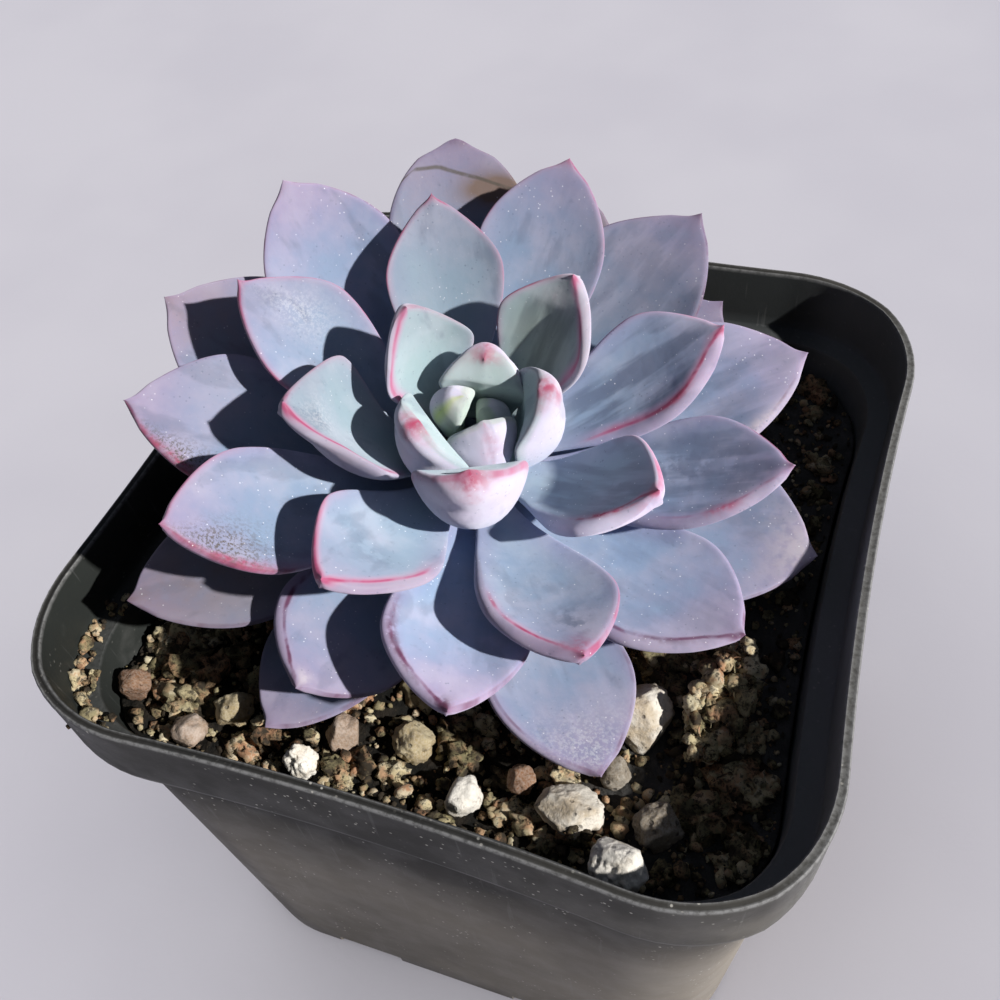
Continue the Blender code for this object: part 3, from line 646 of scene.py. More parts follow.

    # painted light: each leaf's colour scaled by its gain
    gain = s.node("ShaderNodeVectorMath", operation="SCALE")
    s.put(gain.inputs[0], s.color)
    s.put(gain.inputs["Scale"], s.value("gain"))
    s.color = gain.outputs[0]
    relief = s.bump(s.clouds(3, 2), 0.07)
    relief = s.bump(fine, 0.02, relief)
    relief = s.bump(streak, 0.03, relief)
    return s.finish(
        s.ramp(cloud, 0.3, 0.7, 0.5, 0.66), relief,
        Subsurface_Weight=0.07, Subsurface_Radius=(0.0012, 0.0007, 0.0005), Subsurface_Scale=1,
        Specular_IOR_Level=0.35, Diffuse_Roughness=1,
    )


def pot_material():
    s = Shades("pot_worn_plastic")
    east = s.axis("X")
    level = s.math("MULTIPLY", s.axis("Z"), 1000)
    to_right = s.ramp(east, -0.005, 0.034)
    inside = s.value("inside")
    fine = s.clouds(0.5, 4, 0.7)
    s.color = s.mix(s.ramp(s.clouds(16), 0.35, 0.65), (0.011, 0.011, 0.0105), (0.016, 0.0155, 0.0145))
    # dust film on the body, thicker towards the foot; painted shade keeps it dark just under the band, and
    # painted light makes it lighter towards the sunlit right-hand side
    dust_and_painted_light = s.times(s.ramp(level, 48, 27, 0.03, 1), s.ramp(s.clouds(18, 3), 0.3, 0.7, 0.7, 1))
    dust_and_painted_light = s.times(dust_and_painted_light, s.ramp(to_right, 0, 1, 0.58, 1), s.ramp(level, 52.2, 51.6))
    s.coat(dust_and_painted_light, (0.28, 0.25, 0.21))
    # the band at the rim: thin grey film, rougher and greyer on the right
    band = s.ramp(level, 51.8, 52.2)
    s.coat(s.times(band, s.ramp(s.clouds(7, 4), 0.35, 0.7, 0.02, 0.12)), (0.10, 0.093, 0.082))
    band_foot = s.times(band, s.ramp(level, 59, 54, 0.35, 1), s.ramp(east, 0.002, 0.030))
    s.coat(s.times(band_foot, s.ramp(s.clouds(9, 4), 0.3, 0.7, 0.25, 0.6)), (0.22, 0.205, 0.18))
    rough_side = s.times(band, s.ramp(east, 0.030, 0.034), s.ramp(fine, 0.36, 0.62, 0.3, 1))
    s.coat(s.times(rough_side, 0.8), (0.20, 0.20, 0.195))
    # inner side: nearly black; painted shade keeps the left-hand part darker, where the leaves shade it, and
    # painted light makes the right-hand wall lighter, which stays in shade; with smudges of dust
    painted_inner_shading = s.mix(s.ramp(east, -0.020, 0.008), (0.024, 0.027, 0.025), (0.040, 0.044, 0.045))
    painted_inner_shading = s.mix(s.ramp(east, 0.021, 0.027), painted_inner_shading, (0.14, 0.145, 0.145))
    s.coat(inside, painted_inner_shading)
    smudge = s.times(inside, s.ramp(s.clouds(9, 5, 0.6), 0.52, 0.72))
    s.coat(s.times(smudge, 0.35), (0.12, 0.12, 0.115))
    # worn edges of the lip and the band's foot, partly a painted highlight along those edges, and grains of
    # dust
    wear_and_highlight = s.times(s.value("lip"), s.ramp(fine, 0.30, 0.60, 0.35, 1))
    s.coat(s.times(wear_and_highlight, 0.9), (0.27, 0.27, 0.27))
    grains = s.times(s.dots(0.8, 0.15), s.ramp(s.clouds(6, 2), 0.50, 0.64, 0.04, 1))
    grains = s.times(grains, s.math("SUBTRACT", 1, s.times(inside, 0.8)))
    s.coat(s.times(grains, 0.85), (0.55, 0.53, 0.48))
    scratch = s.ramp(s.scratches(0.6, 2, 0.04), 0.66, 0.72)
    s.coat(s.times(scratch, 0.10), (0.3, 0.3, 0.3))
    relief = s.bump(s.clouds(0.3, 3), 0.012)
    relief = s.bump(s.clouds(6, 2), 0.10, relief)
    return s.finish(s.ramp(s.clouds(4), 0.3, 0.7, 0.48, 0.64), relief, Specular_IOR_Level=0.22)


def soil_material():
    s = Shades("soil_dark_peat")
    coarse = s.clouds(2.5)
    fine = s.clouds(0.45, 4, 0.7)
    s.color = s.mix(s.ramp(coarse, 0.4, 0.65), (0.008, 0.008, 0.007), (0.026, 0.021, 0.016))
    s.coat(s.ramp(fine, 0.58, 0.75, 0, 0.7), (0.09, 0.07, 0.045))
    # painted light: the soil on the right-hand side, in the wall's shade, is made lighter
    painted_light_in_wall_shade = s.times(s.ramp(s.axis("X"), 0.010, 0.022), s.ramp(coarse, 0.3, 0.6, 0.6, 1))
    s.coat(painted_light_in_wall_shade, (0.085, 0.083, 0.080))
    relief = s.bump(coarse, 0.5)
    relief = s.bump(fine, 0.25, relief)
    return s.finish(0.95, relief, Specular_IOR_Level=0.2)


def grit_material(name, depth):
    """Crumbs, each with a shade and a warmth of its own, variegated and full of dark pits."""
    s = Shades(name)
    shade = s.value("shade")
    patch = s.clouds(1.1, 4, 0.65)
    pits = s.clouds(0.55, 4, 0.7)
    pale = s.mix(s.ramp(shade, 0.45, 0.9), (0.24, 0.21, 0.115), (0.55, 0.47, 0.29))
    warmth = s.math("ADD", s.value("warm"), s.ramp(s.clouds(1.4, 3), 0.42, 0.64, -0.25, 0.5), clamp=True)
    lit = s.mix(warmth, pale, (0.45, 0.25, 0.145))
    lightness = s.math("ADD", shade, s.ramp(patch, 0.35, 0.65, -0.35, 0.35))
    s.color = s.mix(s.ramp(lightness, 0.1, 0.6), (0.045, 0.036, 0.026), lit)
    s.coat(s.ramp(lightness, 0.75, 1.15, 0, 0.7), (0.66, 0.60, 0.44))
    s.coat(s.ramp(pits, 0.50, 0.62, 0, 0.85), (0.035, 0.027, 0.018))
    relief = s.bump(s.math("SUBTRACT", 1, pits), depth)
    relief = s.bump(patch, depth * 1.5, relief)
    return s.finish(0.95, relief, Specular_IOR_Level=0.15)


def plant_material(name, low, high, size):
    """A plain mottled skin between two colours."""
    s = Shades(name)
    s.color = s.mix(s.ramp(s.clouds(size), 0.35, 0.65), low, high)
    s.coat(s.ramp(s.clouds(size / 5), 0.5, 0.7, 0, 0.4), tuple(c * 0.5 for c in low))
    return s.finish(0.8, s.bump(s.clouds(size / 4), 0.1), Specular_IOR_Level=0.3)


def stone_material(name, color_main, color_stain, stain_share, pits):
    s = Shades(name)
    fine = s.clouds(0.5, 5, 0.65)
    grain = s.clouds(0.18, 2)
    low = 0.5 - stain_share / 2
    s.color = s.mix(s.ramp(s.clouds(2.5), low, low + 0.25), color_main, color_stain)
    s.coat(s.ramp(fine, 0.52, 0.72, 0, 0.55), (0.16, 0.12, 0.08))
    holes = s.times(s.dots(0.7, 0.26, 0.5), s.ramp(s.clouds(1.6), 0.42, 0.55))
    s.coat(s.times(holes, pits), (0.03, 0.022, 0.018))
    s.coat(s.ramp(grain, 0.3, 0.7, 0, 0.15), (0.9, 0.88, 0.84))
    relief = s.bump(fine, 0.18)
    relief = s.bump(s.math("SUBTRACT", 1, holes), 0.15 * pits, relief)
    return s.finish(0.9, relief, Specular_IOR_Level=0.25)


# Leaves


def stage_value(leaf, column, stages=LEAF_STAGES):
    """A leaf's value in a column of a table of stages, read between the two nearest stages."""
    return float(np.interp(leaf, [stage[0] for stage in stages], [stage[column] for stage in stages]))


def smooth(low, high, value):
    share = np.clip((value - low) / (high - low), 0, 1)
    return share * share * (3 - 2 * share)


def leaf_half_width(share, width, point, foot_share):
    foot = foot_share * width
    rise = np.sin(math.pi / 2 * np.clip(share / WIDEST, 0, 1)) ** 1.7
    past = np.clip((share - WIDEST) / (1 - WIDEST), 0, 1)
    blade = width * (1 - past ** 2) ** point / 2
    drawn_in = 1 - MUCRO_DRAW * smooth(MUCRO_START, MUCRO_FULL, share)
    return np.where(share < WIDEST, (foot + (width - foot) * rise) / 2, blade * drawn_in)


def leaf_thickness(share, thickness):
    foot = min(BASE_THICKNESS, thickness)
    near = foot + (thickness - foot) * np.sin(math.pi / 2 * np.clip(share / FULLEST, 0, 1))
    past = np.clip((share - FULLEST) / (1 - FULLEST), 0, 1)
    return np.where(share < FULLEST, near, thickness * (1 - THINNING * past ** 2.5))


def leaf_section():
    """Sides from -1 to 1 over the face and back under it, and whether each is at the back."""
    # both rows are closer together at the margins
    over = np.sin(np.linspace(-math.pi / 2, math.pi / 2, TOP_POINTS))
    under = np.sin(np.linspace(math.pi / 2, -math.pi / 2, BACK_POINTS + 2))[1:-1]
    side = np.concatenate([over, under])
    is_back = np.concatenate([np.zeros(TOP_POINTS), np.ones(BACK_POINTS)])
    return side, is_back


def by_side(table, leaf, side, default=0):
    """A leaf's pair in a table, as a value at each point."""
    left, right = table.get(leaf, (default, default))
    return np.where(side > 0, left, right)


def margin_band(leaf, share, side):
    """Width of the rolled margin at each point."""
    return by_side(MARGIN_BANDS, leaf, side) * smooth(0.15, 0.5, share) * smooth(1, 0.9, share)


def leaf_axes(leaf, turn, lift, roll, drop, out):
    """A leaf's foot, and the ways along it, across it to its left, and up from its face."""
    angle = math.radians(FIRST_TURN + GOLDEN_TURN * leaf + turn)
    view = math.radians(VIEW_TURN)
    level = Vector((math.cos(view), math.sin(view), 0))
    first = (level - AXIS * level.dot(AXIS)).normalized()
    outward = first * math.cos(angle) + AXIS.cross(first) * math.sin(angle)
    reach = STEM_CORE + STEM_SPREAD * (1 - math.exp(-leaf / STEM_SPREAD_LEAVES)) + out
    foot = CROWN - AXIS * (LEAF_STEP * leaf + drop) + outward * reach
    lift = math.radians(stage_value(leaf, LIFT) + lift)
    roll = math.radians(roll)
    along = outward * math.cos(lift) + AXIS * math.sin(lift)
    level_across = AXIS.cross(outward)
    level_upper = AXIS * math.cos(lift) - outward * math.sin(lift)
    across = level_across * math.cos(roll) + level_upper * math.sin(roll)
    upper = level_upper * math.cos(roll) - level_across * math.sin(roll)
    return [np.array(row) for row in (foot, along, across, upper)]


def make_leaf(leaf, finish):
    turn, lift, roll, longer, drop, dip, wider, plumper, left, right, cup, point = LEAF_FORMS[leaf]
    crest, out, bend, foot = BUD_FORMS.get(leaf, (0, 0, stage_value(leaf, BEND), BASE_WIDTH_SHARE))
    cup = stage_value(leaf, CUP) if cup is None else cup
    point = stage_value(leaf, POINT) if point is None else point
    length = stage_value(leaf, LENGTH) + longer
    width = stage_value(leaf, WIDTH) * wider
    base, along, across, upper = leaf_axes(leaf, turn, lift, roll, drop, out)
    outer = leaf >= BUD_LEAVES

    side_row, back_row = leaf_section()
    count = len(side_row)
    stations = LAST_STATION * (1 - (1 - np.linspace(0, 1, STATIONS)) ** TIP_CROWDING)
    share = np.repeat(stations, count)
    side = np.tile(side_row, STATIONS)
    is_back = np.tile(back_row, STATIONS)
    half = leaf_half_width(share, width, point, foot)
    thick = leaf_thickness(share, stage_value(leaf, THICKNESS) * plumper)
    thick = thick * np.minimum(1, (half / THIN_HALF_WIDTH) ** 0.6)
    rise = cup * (2 * half / width) ** 2
    face = FACE_SHARE * thick
    height = face + (rise - face) * side ** 2
    # the margin is rounded over towards the back
    radius = np.minimum(np.maximum(MARGIN_RADIUS, margin_band(leaf, share, side)), 0.45 * half)
    into_margin = np.clip(1 - (1 - np.abs(side)) * half / radius, 0, 1)
    rolled = radius * 0.8 * (1 - np.sqrt(1 - into_margin ** 2))
    depth = (thick - rolled) * (1 - np.abs(side) ** BACK_ROUNDNESS) ** BACK_FULLNESS[outer]
    keel = KEEL * outer * np.exp(-(side / KEEL_SIDE) ** 2) * smooth(0.35, 0.9, share) * smooth(0.3, 1.5, half)
    height = height - rolled - is_back * (depth + keel)
    height += crest * (1 - np.abs(side)) * smooth(0.1, 0.4, share) * (1 - is_back)
    height -= dip * smooth(DIP_STARTS.get(leaf, DIP_START), 1, share)
    swell = np.array([
        noise.noise(Vector((s * length / SWELL_LENGTH + leaf * 7.3, x * h / SWELL_WIDTH, b * 3)))
        for s, x, h, b in zip(share, side, half, is_back)
    ])
    calm = smooth(0, 0.15, share) * (1 - np.abs(side) ** 4) * smooth(0.2, 1.5, half)
    height = height + SURFACE_SWELL * min(1, leaf / BUD_LEAVES) * swell * calm

    sag = length * math.radians(bend) / 8
    slope = np.arctan(-4 * sag * (1 - 2 * share) / length)[:, None]
    above = upper * np.cos(slope) - along * np.sin(slope)
    middle = base + along * (length * share)[:, None] - upper * (4 * sag * share * (1 - share))[:, None]
    breadth = half * np.where(side > 0, left, right)
    points = middle + across * (breadth * side)[:, None] + above * height[:, None]
    points = np.vstack([points, points[-count:].mean(0) + along * MUCRO_REACH[outer]])

    last = (STATIONS - 1) * count
    faces = [tuple(range(count))]
    for ring in range(STATIONS - 1):
        faces += bridge(count, (ring + 1) * count, ring * count)
    faces += [(last + (k + 1) % count, last + k, len(points) - 1) for k in range(count)]
    name = f"leaf_{leaf + 1:02d}"
    piece = add_mesh(f"echeveria_{name}", points, faces, finish, (name,))
    tip = ((share, 1), (side, 0), (half, 0.05), (is_back, 0.5))
    paint_leaf(piece, leaf, *[np.append(row, value) for row, value in tip])
    return piece


def paint_leaf(piece, leaf, share, side, half, is_back):
    """Values that the bloom's material reads: place on the leaf, blush, and marks."""
    every = np.ones(len(share))
    rim = (1 - np.abs(side)) * half
    blush = stage_value(leaf, 1, BLUSH_STAGES)
    line = stage_value(leaf, 1, LINE_STAGES)
    sides = by_side(BLUSH_SIDES, leaf, side, 1)
    start = BLUSH_STARTS.get(leaf, BLUSH_START)
    fade = smooth(start, start + BLUSH_FADE, share)
    tip = np.exp(-((1 - share) / BLUSH_TIP) ** 2)
    values = {
        "share": share,
        "rim": rim,
        "back": is_back * smooth(0, 0.3, rim),
        "tone": every * leaf / (LEAF_COUNT - 1),
        "blush": np.clip(blush * np.maximum(sides * fade, tip), 0, 1),
        "reach": 0.7 + 0.35 * np.clip(blush * sides, 0, 1.5),
        "line": np.clip(line * np.minimum(sides, 1.2) * fade, 0, 1),
        "spike": line * np.exp(-((1 - share) / SPIKE_TIP) ** 2),
        "inset": np.where(is_back > 0.5, -rim, rim) - margin_band(leaf, share, side),
        "bruise": by_side(BRUISES, leaf, side) * smooth(0.5, 0.7, share),
        "dull": DULL_AND_SHADE.get(leaf, 0) * smooth(0.1, 0.35, share) * (is_back < 0.5),
        "gain": every * LEAF_LIGHT_GAIN.get(leaf, 1 if leaf >= BUD_LEAVES else BUD_LIGHT_GAIN),
        "along": share * stage_value(leaf, LENGTH),
        "across": side * half,
        "fold": every * NO_FOLD,
    }
    if leaf in CREASES:
        crease = np.interp(side, *np.transpose(CREASES[leaf]))
        values["fold"] = np.where(is_back < 0.5, (share - crease) * stage_value(leaf, LENGTH), NO_FOLD)
    shown = {"both": True, "back": is_back > 0.5, "top": is_back < 0.5}
    values.update((kind, 0 * every) for kind in MARK_KINDS)
    for number, kind, face, at, across, reach_along, reach_across, power in MARKS:
        if number == leaf:
            spot = power * np.exp(-((share - at) / reach_along) ** 2 - ((side - across) / reach_across) ** 2)
            values[kind] = np.maximum(values[kind], spot * shown[face])
    for name, value in values.items():
        add_values(piece, name, value)


# Pot


def rounded_square(width, radius, level, bow):
    """A square with round corners and sides drawn in at the middle, counter-clockwise."""
    half = width / 2
    centre = half - radius
    points = []
    for quarter in range(4):
        turn = Matrix.Rotation(math.radians(quarter * 90), 2)
        for step in range(1, SIDE_STEPS):
            points.append(turn @ Vector((half, -centre + 2 * centre * step / SIDE_STEPS)))
        for step in range(CORNER_STEPS + 1):
            angle = math.radians(90 * step / CORNER_STEPS)
            corner = Vector((centre + radius * math.cos(angle), centre + radius * math.sin(angle)))
            points.append(turn @ corner)
    span = half - 0.3 * radius
    result = []
    for x, y in points:
        in_x = bow * max(0, 1 - (y / span) ** 2) if abs(x) > abs(y) else 0
        in_y = bow * max(0, 1 - (x / span) ** 2) if abs(y) > abs(x) else 0
        result.append((x - math.copysign(in_x, x), y - math.copysign(in_y, y), level))
    return result


def pot_bow(level):
    return SIDE_BOW * min(1, level / (POT_HEIGHT - RIM_BAND))


def pot_inside(level):
    """Inner width and corner radius of the pot's tapering body at a height."""
    foot = FLOOR + FOOT_EDGE
    ledge = POT_HEIGHT - RIM_BAND + WALL
    share = (level - foot) / (ledge - foot)
    width = BASE_WIDTH + (BODY_TOP_WIDTH - BASE_WIDTH) * share
    radius = BASE_CORNER_RADIUS + (BODY_CORNER_RADIUS - BASE_CORNER_RADIUS) * share
    return width - 2 * WALL, radius - WALL


def pot_profile():
    """The skin from the base up and down the inside: width, corner radius, height, wear with a painted
    highlight, inner side.
    """
    band_foot = POT_HEIGHT - RIM_BAND
    ledge = band_foot + WALL
    foot_width = RIM_WIDTH - BAND_TAPER
    inner_foot = foot_width - 2 * WALL
    inner_radius = CORNER_RADIUS - WALL
    rows = [
        (BASE_WIDTH - 2 * FOOT_EDGE, BASE_CORNER_RADIUS - FOOT_EDGE, 0, 0, 0),
        (BASE_WIDTH - 0.5, BASE_CORNER_RADIUS - 0.25, 0.25, 0, 0),
        (BASE_WIDTH, BASE_CORNER_RADIUS, FOOT_EDGE, 0, 0),
    ]
    for step in range(1, BODY_STEPS):
        share = step / BODY_STEPS
        rows.append((
            BASE_WIDTH + (BODY_TOP_WIDTH - BASE_WIDTH) * share,
            BASE_CORNER_RADIUS + (BODY_CORNER_RADIUS - BASE_CORNER_RADIUS) * share,
            FOOT_EDGE + (band_foot - FOOT_EDGE) * share, 0, 0,
        ))
    rows += [
        (BODY_TOP_WIDTH, BODY_CORNER_RADIUS, band_foot - 0.3, 0, 0),
        (BODY_TOP_WIDTH + 0.3, BODY_CORNER_RADIUS + 0.1, band_foot, 0, 0),
    ]
    rows += [(foot_width + w, CORNER_RADIUS + r, band_foot + h, wear, 0) for w, r, h, wear in BAND_ROWS]
    rows += [(RIM_WIDTH - w, CORNER_RADIUS - r, POT_HEIGHT - h, *looks) for w, r, h, *looks in LIP_ROWS]
    rows += [
        (inner_foot, inner_radius - 0.1, ledge + 1.5, 0, 1),
        (inner_foot, inner_radius - 0.1, ledge + 0.2, 0, 1),
        (inner_foot - 0.4, inner_radius - 0.2, ledge, 0, 1),
        (BODY_TOP_WIDTH - 2 * WALL + 0.3, BODY_CORNER_RADIUS - WALL + 0.1, ledge, 0.2, 1),
        (BODY_TOP_WIDTH - 2 * WALL, BODY_CORNER_RADIUS - WALL, ledge - 0.3, 0, 1),
        (*pot_inside(40), 40, 0, 1),
        (BASE_WIDTH - 2 * WALL, BASE_CORNER_RADIUS - WALL, FLOOR + FOOT_EDGE, 0, 1),
        (BASE_WIDTH - 2 * WALL - 2 * FOOT_EDGE, BASE_CORNER_RADIUS - WALL - FOOT_EDGE, FLOOR, 0, 1),
    ]
    return rows


def make_pot(finish):
    points, faces, lips, inner = [], [], [], []
    profile = pot_profile()
    for width, radius, level, lip, inside in profile:
        loop = rounded_square(width, radius, level, pot_bow(level))
        count = len(loop)
        points += loop
        lips += [lip] * count
        inner += [inside] * count
    last = (len(profile) - 1) * count
    for start in range(0, last, count):
        faces += bridge(count, start, start + count)
    faces += [tuple(reversed(range(count))), tuple(range(last, last + count))]
    pot = add_mesh("nursery_pot", points, faces, finish, ("pot",))
    add_values(pot, "lip", lips)
    add_values(pot, "inside", inner)
    pot.data.set_sharp_from_angle(angle=math.radians(SHARP_ANGLE))
    cutters = drain_cutters()
    cut = pot.modifiers.new("drain", "BOOLEAN")
    cut.operation = "DIFFERENCE"
    cut.object = cutters
    bpy.context.view_layer.update()
    drained = bpy.data.meshes.new_from_object(pot.evaluated_get(bpy.context.evaluated_depsgraph_get()))
    pot.modifiers.clear()
    pot.data = drained
    bpy.data.objects.remove(cutters, do_unlink=True)


def drain_cutters():
    """Round holes in the floor and slots through the foot of each side."""
    shape = bmesh.new()
    for x_side in (-1, 1):
        for y_side in (-1, 1):
            place = Matrix.Translation(Vector((x_side, y_side, 0)) * DRAIN_HOLE_OFFSET * MM)
            bmesh.ops.create_cone(
                shape, cap_ends=True, segments=40, radius1=DRAIN_HOLE / 2 * MM, radius2=DRAIN_HOLE / 2 * MM,
                depth=4 * FLOOR * MM, matrix=place,
            )
    for quarter in range(4):
        turn = Matrix.Rotation(math.radians(90 * quarter), 4, "Z")
        for side in (-1, 1):
            centre = Vector((BASE_WIDTH / 2, side * DRAIN_SLOT_OFFSET, 0)) * MM
            size = Matrix.Diagonal((6 * MM, DRAIN_SLOT_LENGTH * MM, 2 * DRAIN_SLOT_HEIGHT * MM, 1))
            bmesh.ops.create_cube(shape, size=1, matrix=turn @ Matrix.Translation(centre) @ size)
    mesh = bpy.data.meshes.new("drain_cutters")
    shape.to_mesh(mesh)
    shape.free()
    cutters = bpy.data.objects.new("drain_cutters", mesh)
    cutters.hide_render = True
    cutters.display_type = "WIRE"
    bpy.context.scene.collection.objects.link(cutters)
    return cutters


# Soil, grit and stones


def soil_height(x, y):
    """Height of the crumbly soil: slow swells, lumps and fine crumbs."""
    spot = Vector((x, y, 0))
    swell = noise.noise(spot / SOIL_SWELL_SPACING) * SOIL_SWELL
    mound = SOIL_MOUND * math.exp(-(x * x + y * y) / SOIL_MOUND_REACH)
    nearest = noise.voronoi(spot / SOIL_LUMP_SPACING)[0][0]
    lump = SOIL_LUMP * max(0, 0.45 - nearest)
    crumb = SOIL_CRUMB * noise.fractal(spot / SOIL_CRUMB_SPACING, 1, 2, 4)
    return SOIL_LEVEL - SOIL_SINK + swell + mound + lump + crumb


def make_soil(finish):
    """A finely crumbled surface from the stem out to the wall, on a plain body."""
    width, radius = pot_inside(SOIL_LEVEL)
    width -= 2 * SOIL_WALL_GAP
    neck = CROWN + AXIS * ((STEM_NECK_LEVEL - CROWN.z) / AXIS.z)
    loop = np.array(rounded_square(width, radius - SOIL_WALL_GAP, SOIL_LEVEL, pot_bow(SOIL_LEVEL)))
    pairs = list(zip(loop, np.roll(loop, -1, 0)))
    edge = np.vstack([near * (1 - t / 3) + far * t / 3 for near, far in pairs for t in range(3)])
    count = len(edge)
    hole = []
    for far_x, far_y, _ in edge:
        angle = math.atan2(far_y, far_x)
        out_x, out_y = STEM_HOLE_RADIUS * math.cos(angle), STEM_HOLE_RADIUS * math.sin(angle)
        hole.append((neck.x + out_x, neck.y + out_y))
    points = []
    for ring in range(SOIL_RINGS + 1):
        share = (ring / SOIL_RINGS) ** 0.8
        for (near_x, near_y), (far_x, far_y, _) in zip(hole, edge):
            x = near_x * (1 - share) + far_x * share
            y = near_y * (1 - share) + far_y * share
            points.append((x, y, soil_height(x, y)))
    for level in (SOIL_LEVEL - 3, FLOOR + 0.5):
        wide = pot_inside(max(level, FLOOR + 1.2))[0] - 2 * SOIL_WALL_GAP
        points += [tuple(p) for p in edge * wide / width * (1, 1, 0) + (0, 0, level)]
    points += [(x, y, STEM_HOLE_FOOT) for x, y in hole]
    faces = []
    last = len(points) - count
    for start in range(0, last - count, count):
        faces += bridge(count, start + count, start)
    faces.append(tuple(reversed(range(last - count, last))))
    faces += bridge(count, 0, last)
    faces.append(tuple(range(last, last + count)))
    add_mesh("soil_surface", points, faces, finish, ("soil",))


def lump_shape(seed, subdivisions, roughness, chips, crags=0.15):
    """Points and faces of an irregular unit stone: lumpy, with some sides broken flat."""
    rng = random.Random(seed)
    shape = bmesh.new()
    bmesh.ops.create_icosphere(shape, subdivisions=subdivisions, radius=1)
    offset = Vector((rng.uniform(-50, 50), rng.uniform(-50, 50), rng.uniform(-50, 50)))
    planes = []
    for _ in range(chips):
        way = Vector((rng.gauss(0, 1), rng.gauss(0, 1), rng.gauss(0, 1))).normalized()
        planes.append((way, rng.uniform(*FLAT_SIDES)))
    points = []
    for vertex in shape.verts:
        way = vertex.co.normalized()
        reach = 1 + roughness * noise.fractal(way * 1.2 + offset, 1.2, 2.1, 4)
        reach -= crags * (abs(noise.noise(way * 2.6 + offset)) + 0.5 * abs(noise.noise(way * 6.1 + offset)))
        for normal, limit in planes:
            toward = way.dot(normal)
            if toward > 0.05:
                reach = min(reach, limit / toward + 0.03 * noise.noise(way * 5 + offset))
        points.append(way * reach)
    faces = [tuple(v.index for v in face.verts) for face in shape.faces]
    shape.free()
    return np.array(points), faces


def stone_frame(node):
    low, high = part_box(node)
    return np.array((low + high) / 2) / MM, np.array(high - low) / MM


def make_stone(node, finish, slot, seed, roughness, chips):
    """A detailed stone in the box of its CAD node, shifted and sized a little where the table says so."""
    centre, size = stone_frame(node)
    shift, share = STONE_FITS.get(node, ((0, 0, 0), 1))
    centre = centre + np.array(shift)
    size = size * share
    points, faces = lump_shape(seed, 5 if max(size) > FINER_STONE else 4, roughness, chips)
    low, high = points.min(0), points.max(0)
    points = (points - (low + high) / 2) / (high - low) * size + centre
    return add_mesh(f"fine_{node}", points, faces, finish, (node,))


def bvh_of(pieces):
    points, faces = [], []
    for piece in pieces:
        start = len(points)
        points += [v.co / MM for v in piece.data.vertices]
        faces += [tuple(start + k for k in polygon.vertices) for polygon in piece.data.polygons]
    return BVHTree.FromPolygons(points, faces)


def random_turn(rng):
    axis = Vector((rng.gauss(0, 1), rng.gauss(0, 1), rng.gauss(0, 1))).normalized()
    return np.array(Matrix.Rotation(rng.uniform(0, 2 * math.pi), 3, axis))


class Heap:
    """Loose lumps gathered into one mesh, each with a shade and a warmth of its own."""

    def __init__(self, seed, subdivisions, kinds=14):
        self.rng = random.Random(seed)
        self.shapes = [
            lump_shape(seed * 100 + k, subdivisions, 0.4, self.rng.choice((1, 3, 5)), 0.5)
            for k in range(kinds)
        ]
        self.points = []
        self.faces = []
        self.shades = []
        self.warmths = []
        self.count = 0

    def add(self, place, size, shade, warmth):
        rng = self.rng
        points, faces = rng.choice(self.shapes)
        scale = np.array((rng.uniform(0.85, 1.2), rng.uniform(0.7, 1), rng.uniform(0.6, 0.9))) * size * 0.6
        self.add_shape((points * scale) @ random_turn(rng).T + np.array(place), faces, shade, warmth)

    def add_shape(self, points, faces, shade, warmth):
        self.points.append(points)
        self.faces += [tuple(self.count + k for k in face) for face in faces]
        self.shades += [shade] * len(points)
        self.warmths += [warmth] * len(points)
        self.count += len(points)

    def finish(self, name, material, slot, replaced=()):
        piece = add_mesh(name, np.vstack(self.points), self.faces, material, replaced)
        add_values(piece, "shade", np.clip(self.shades, 0, 1))
        add_values(piece, "warm", np.clip(self.warmths, 0, 1))
        return piece


def in_pot(x, y, size):
    """Whether a lump of this size stands clear of the pot's inner side."""
    width, corner = pot_inside(SOIL_LEVEL)
    half = width / 2 - LUMP_WALL_GAP
    corner_x, corner_y = abs(x) - (half - corner), abs(y) - (half - corner)
    if corner_x > 0 and corner_y > 0 and math.hypot(corner_x, corner_y) > corner - size / 2:
        return False
    return max(abs(x), abs(y)) < half - size / 2 - SIDE_BOW * (1 - (min(abs(x), abs(y)) / half) ** 2)


def is_free(solid, place, size):
    """Whether a lump of this size stands clear of leaves, large stones and the clump."""
    distance = solid.find_nearest(Vector(place), size * 2)[3]
    return distance is None or distance > size * LUMP_FREE_SHARE


def clod_places(rng, number):
    """Clods lie thickly along the front and the left and thinly elsewhere."""
    half = pot_inside(SOIL_LEVEL)[0] / 2
    places = []
    while len(places) < number:
        x, y = rng.uniform(-half, half), rng.uniform(-half, half)
        if y < CLOD_BAND or rng.random() < CLOD_SHARE_BEHIND:
            places.append((x, y))
    return places


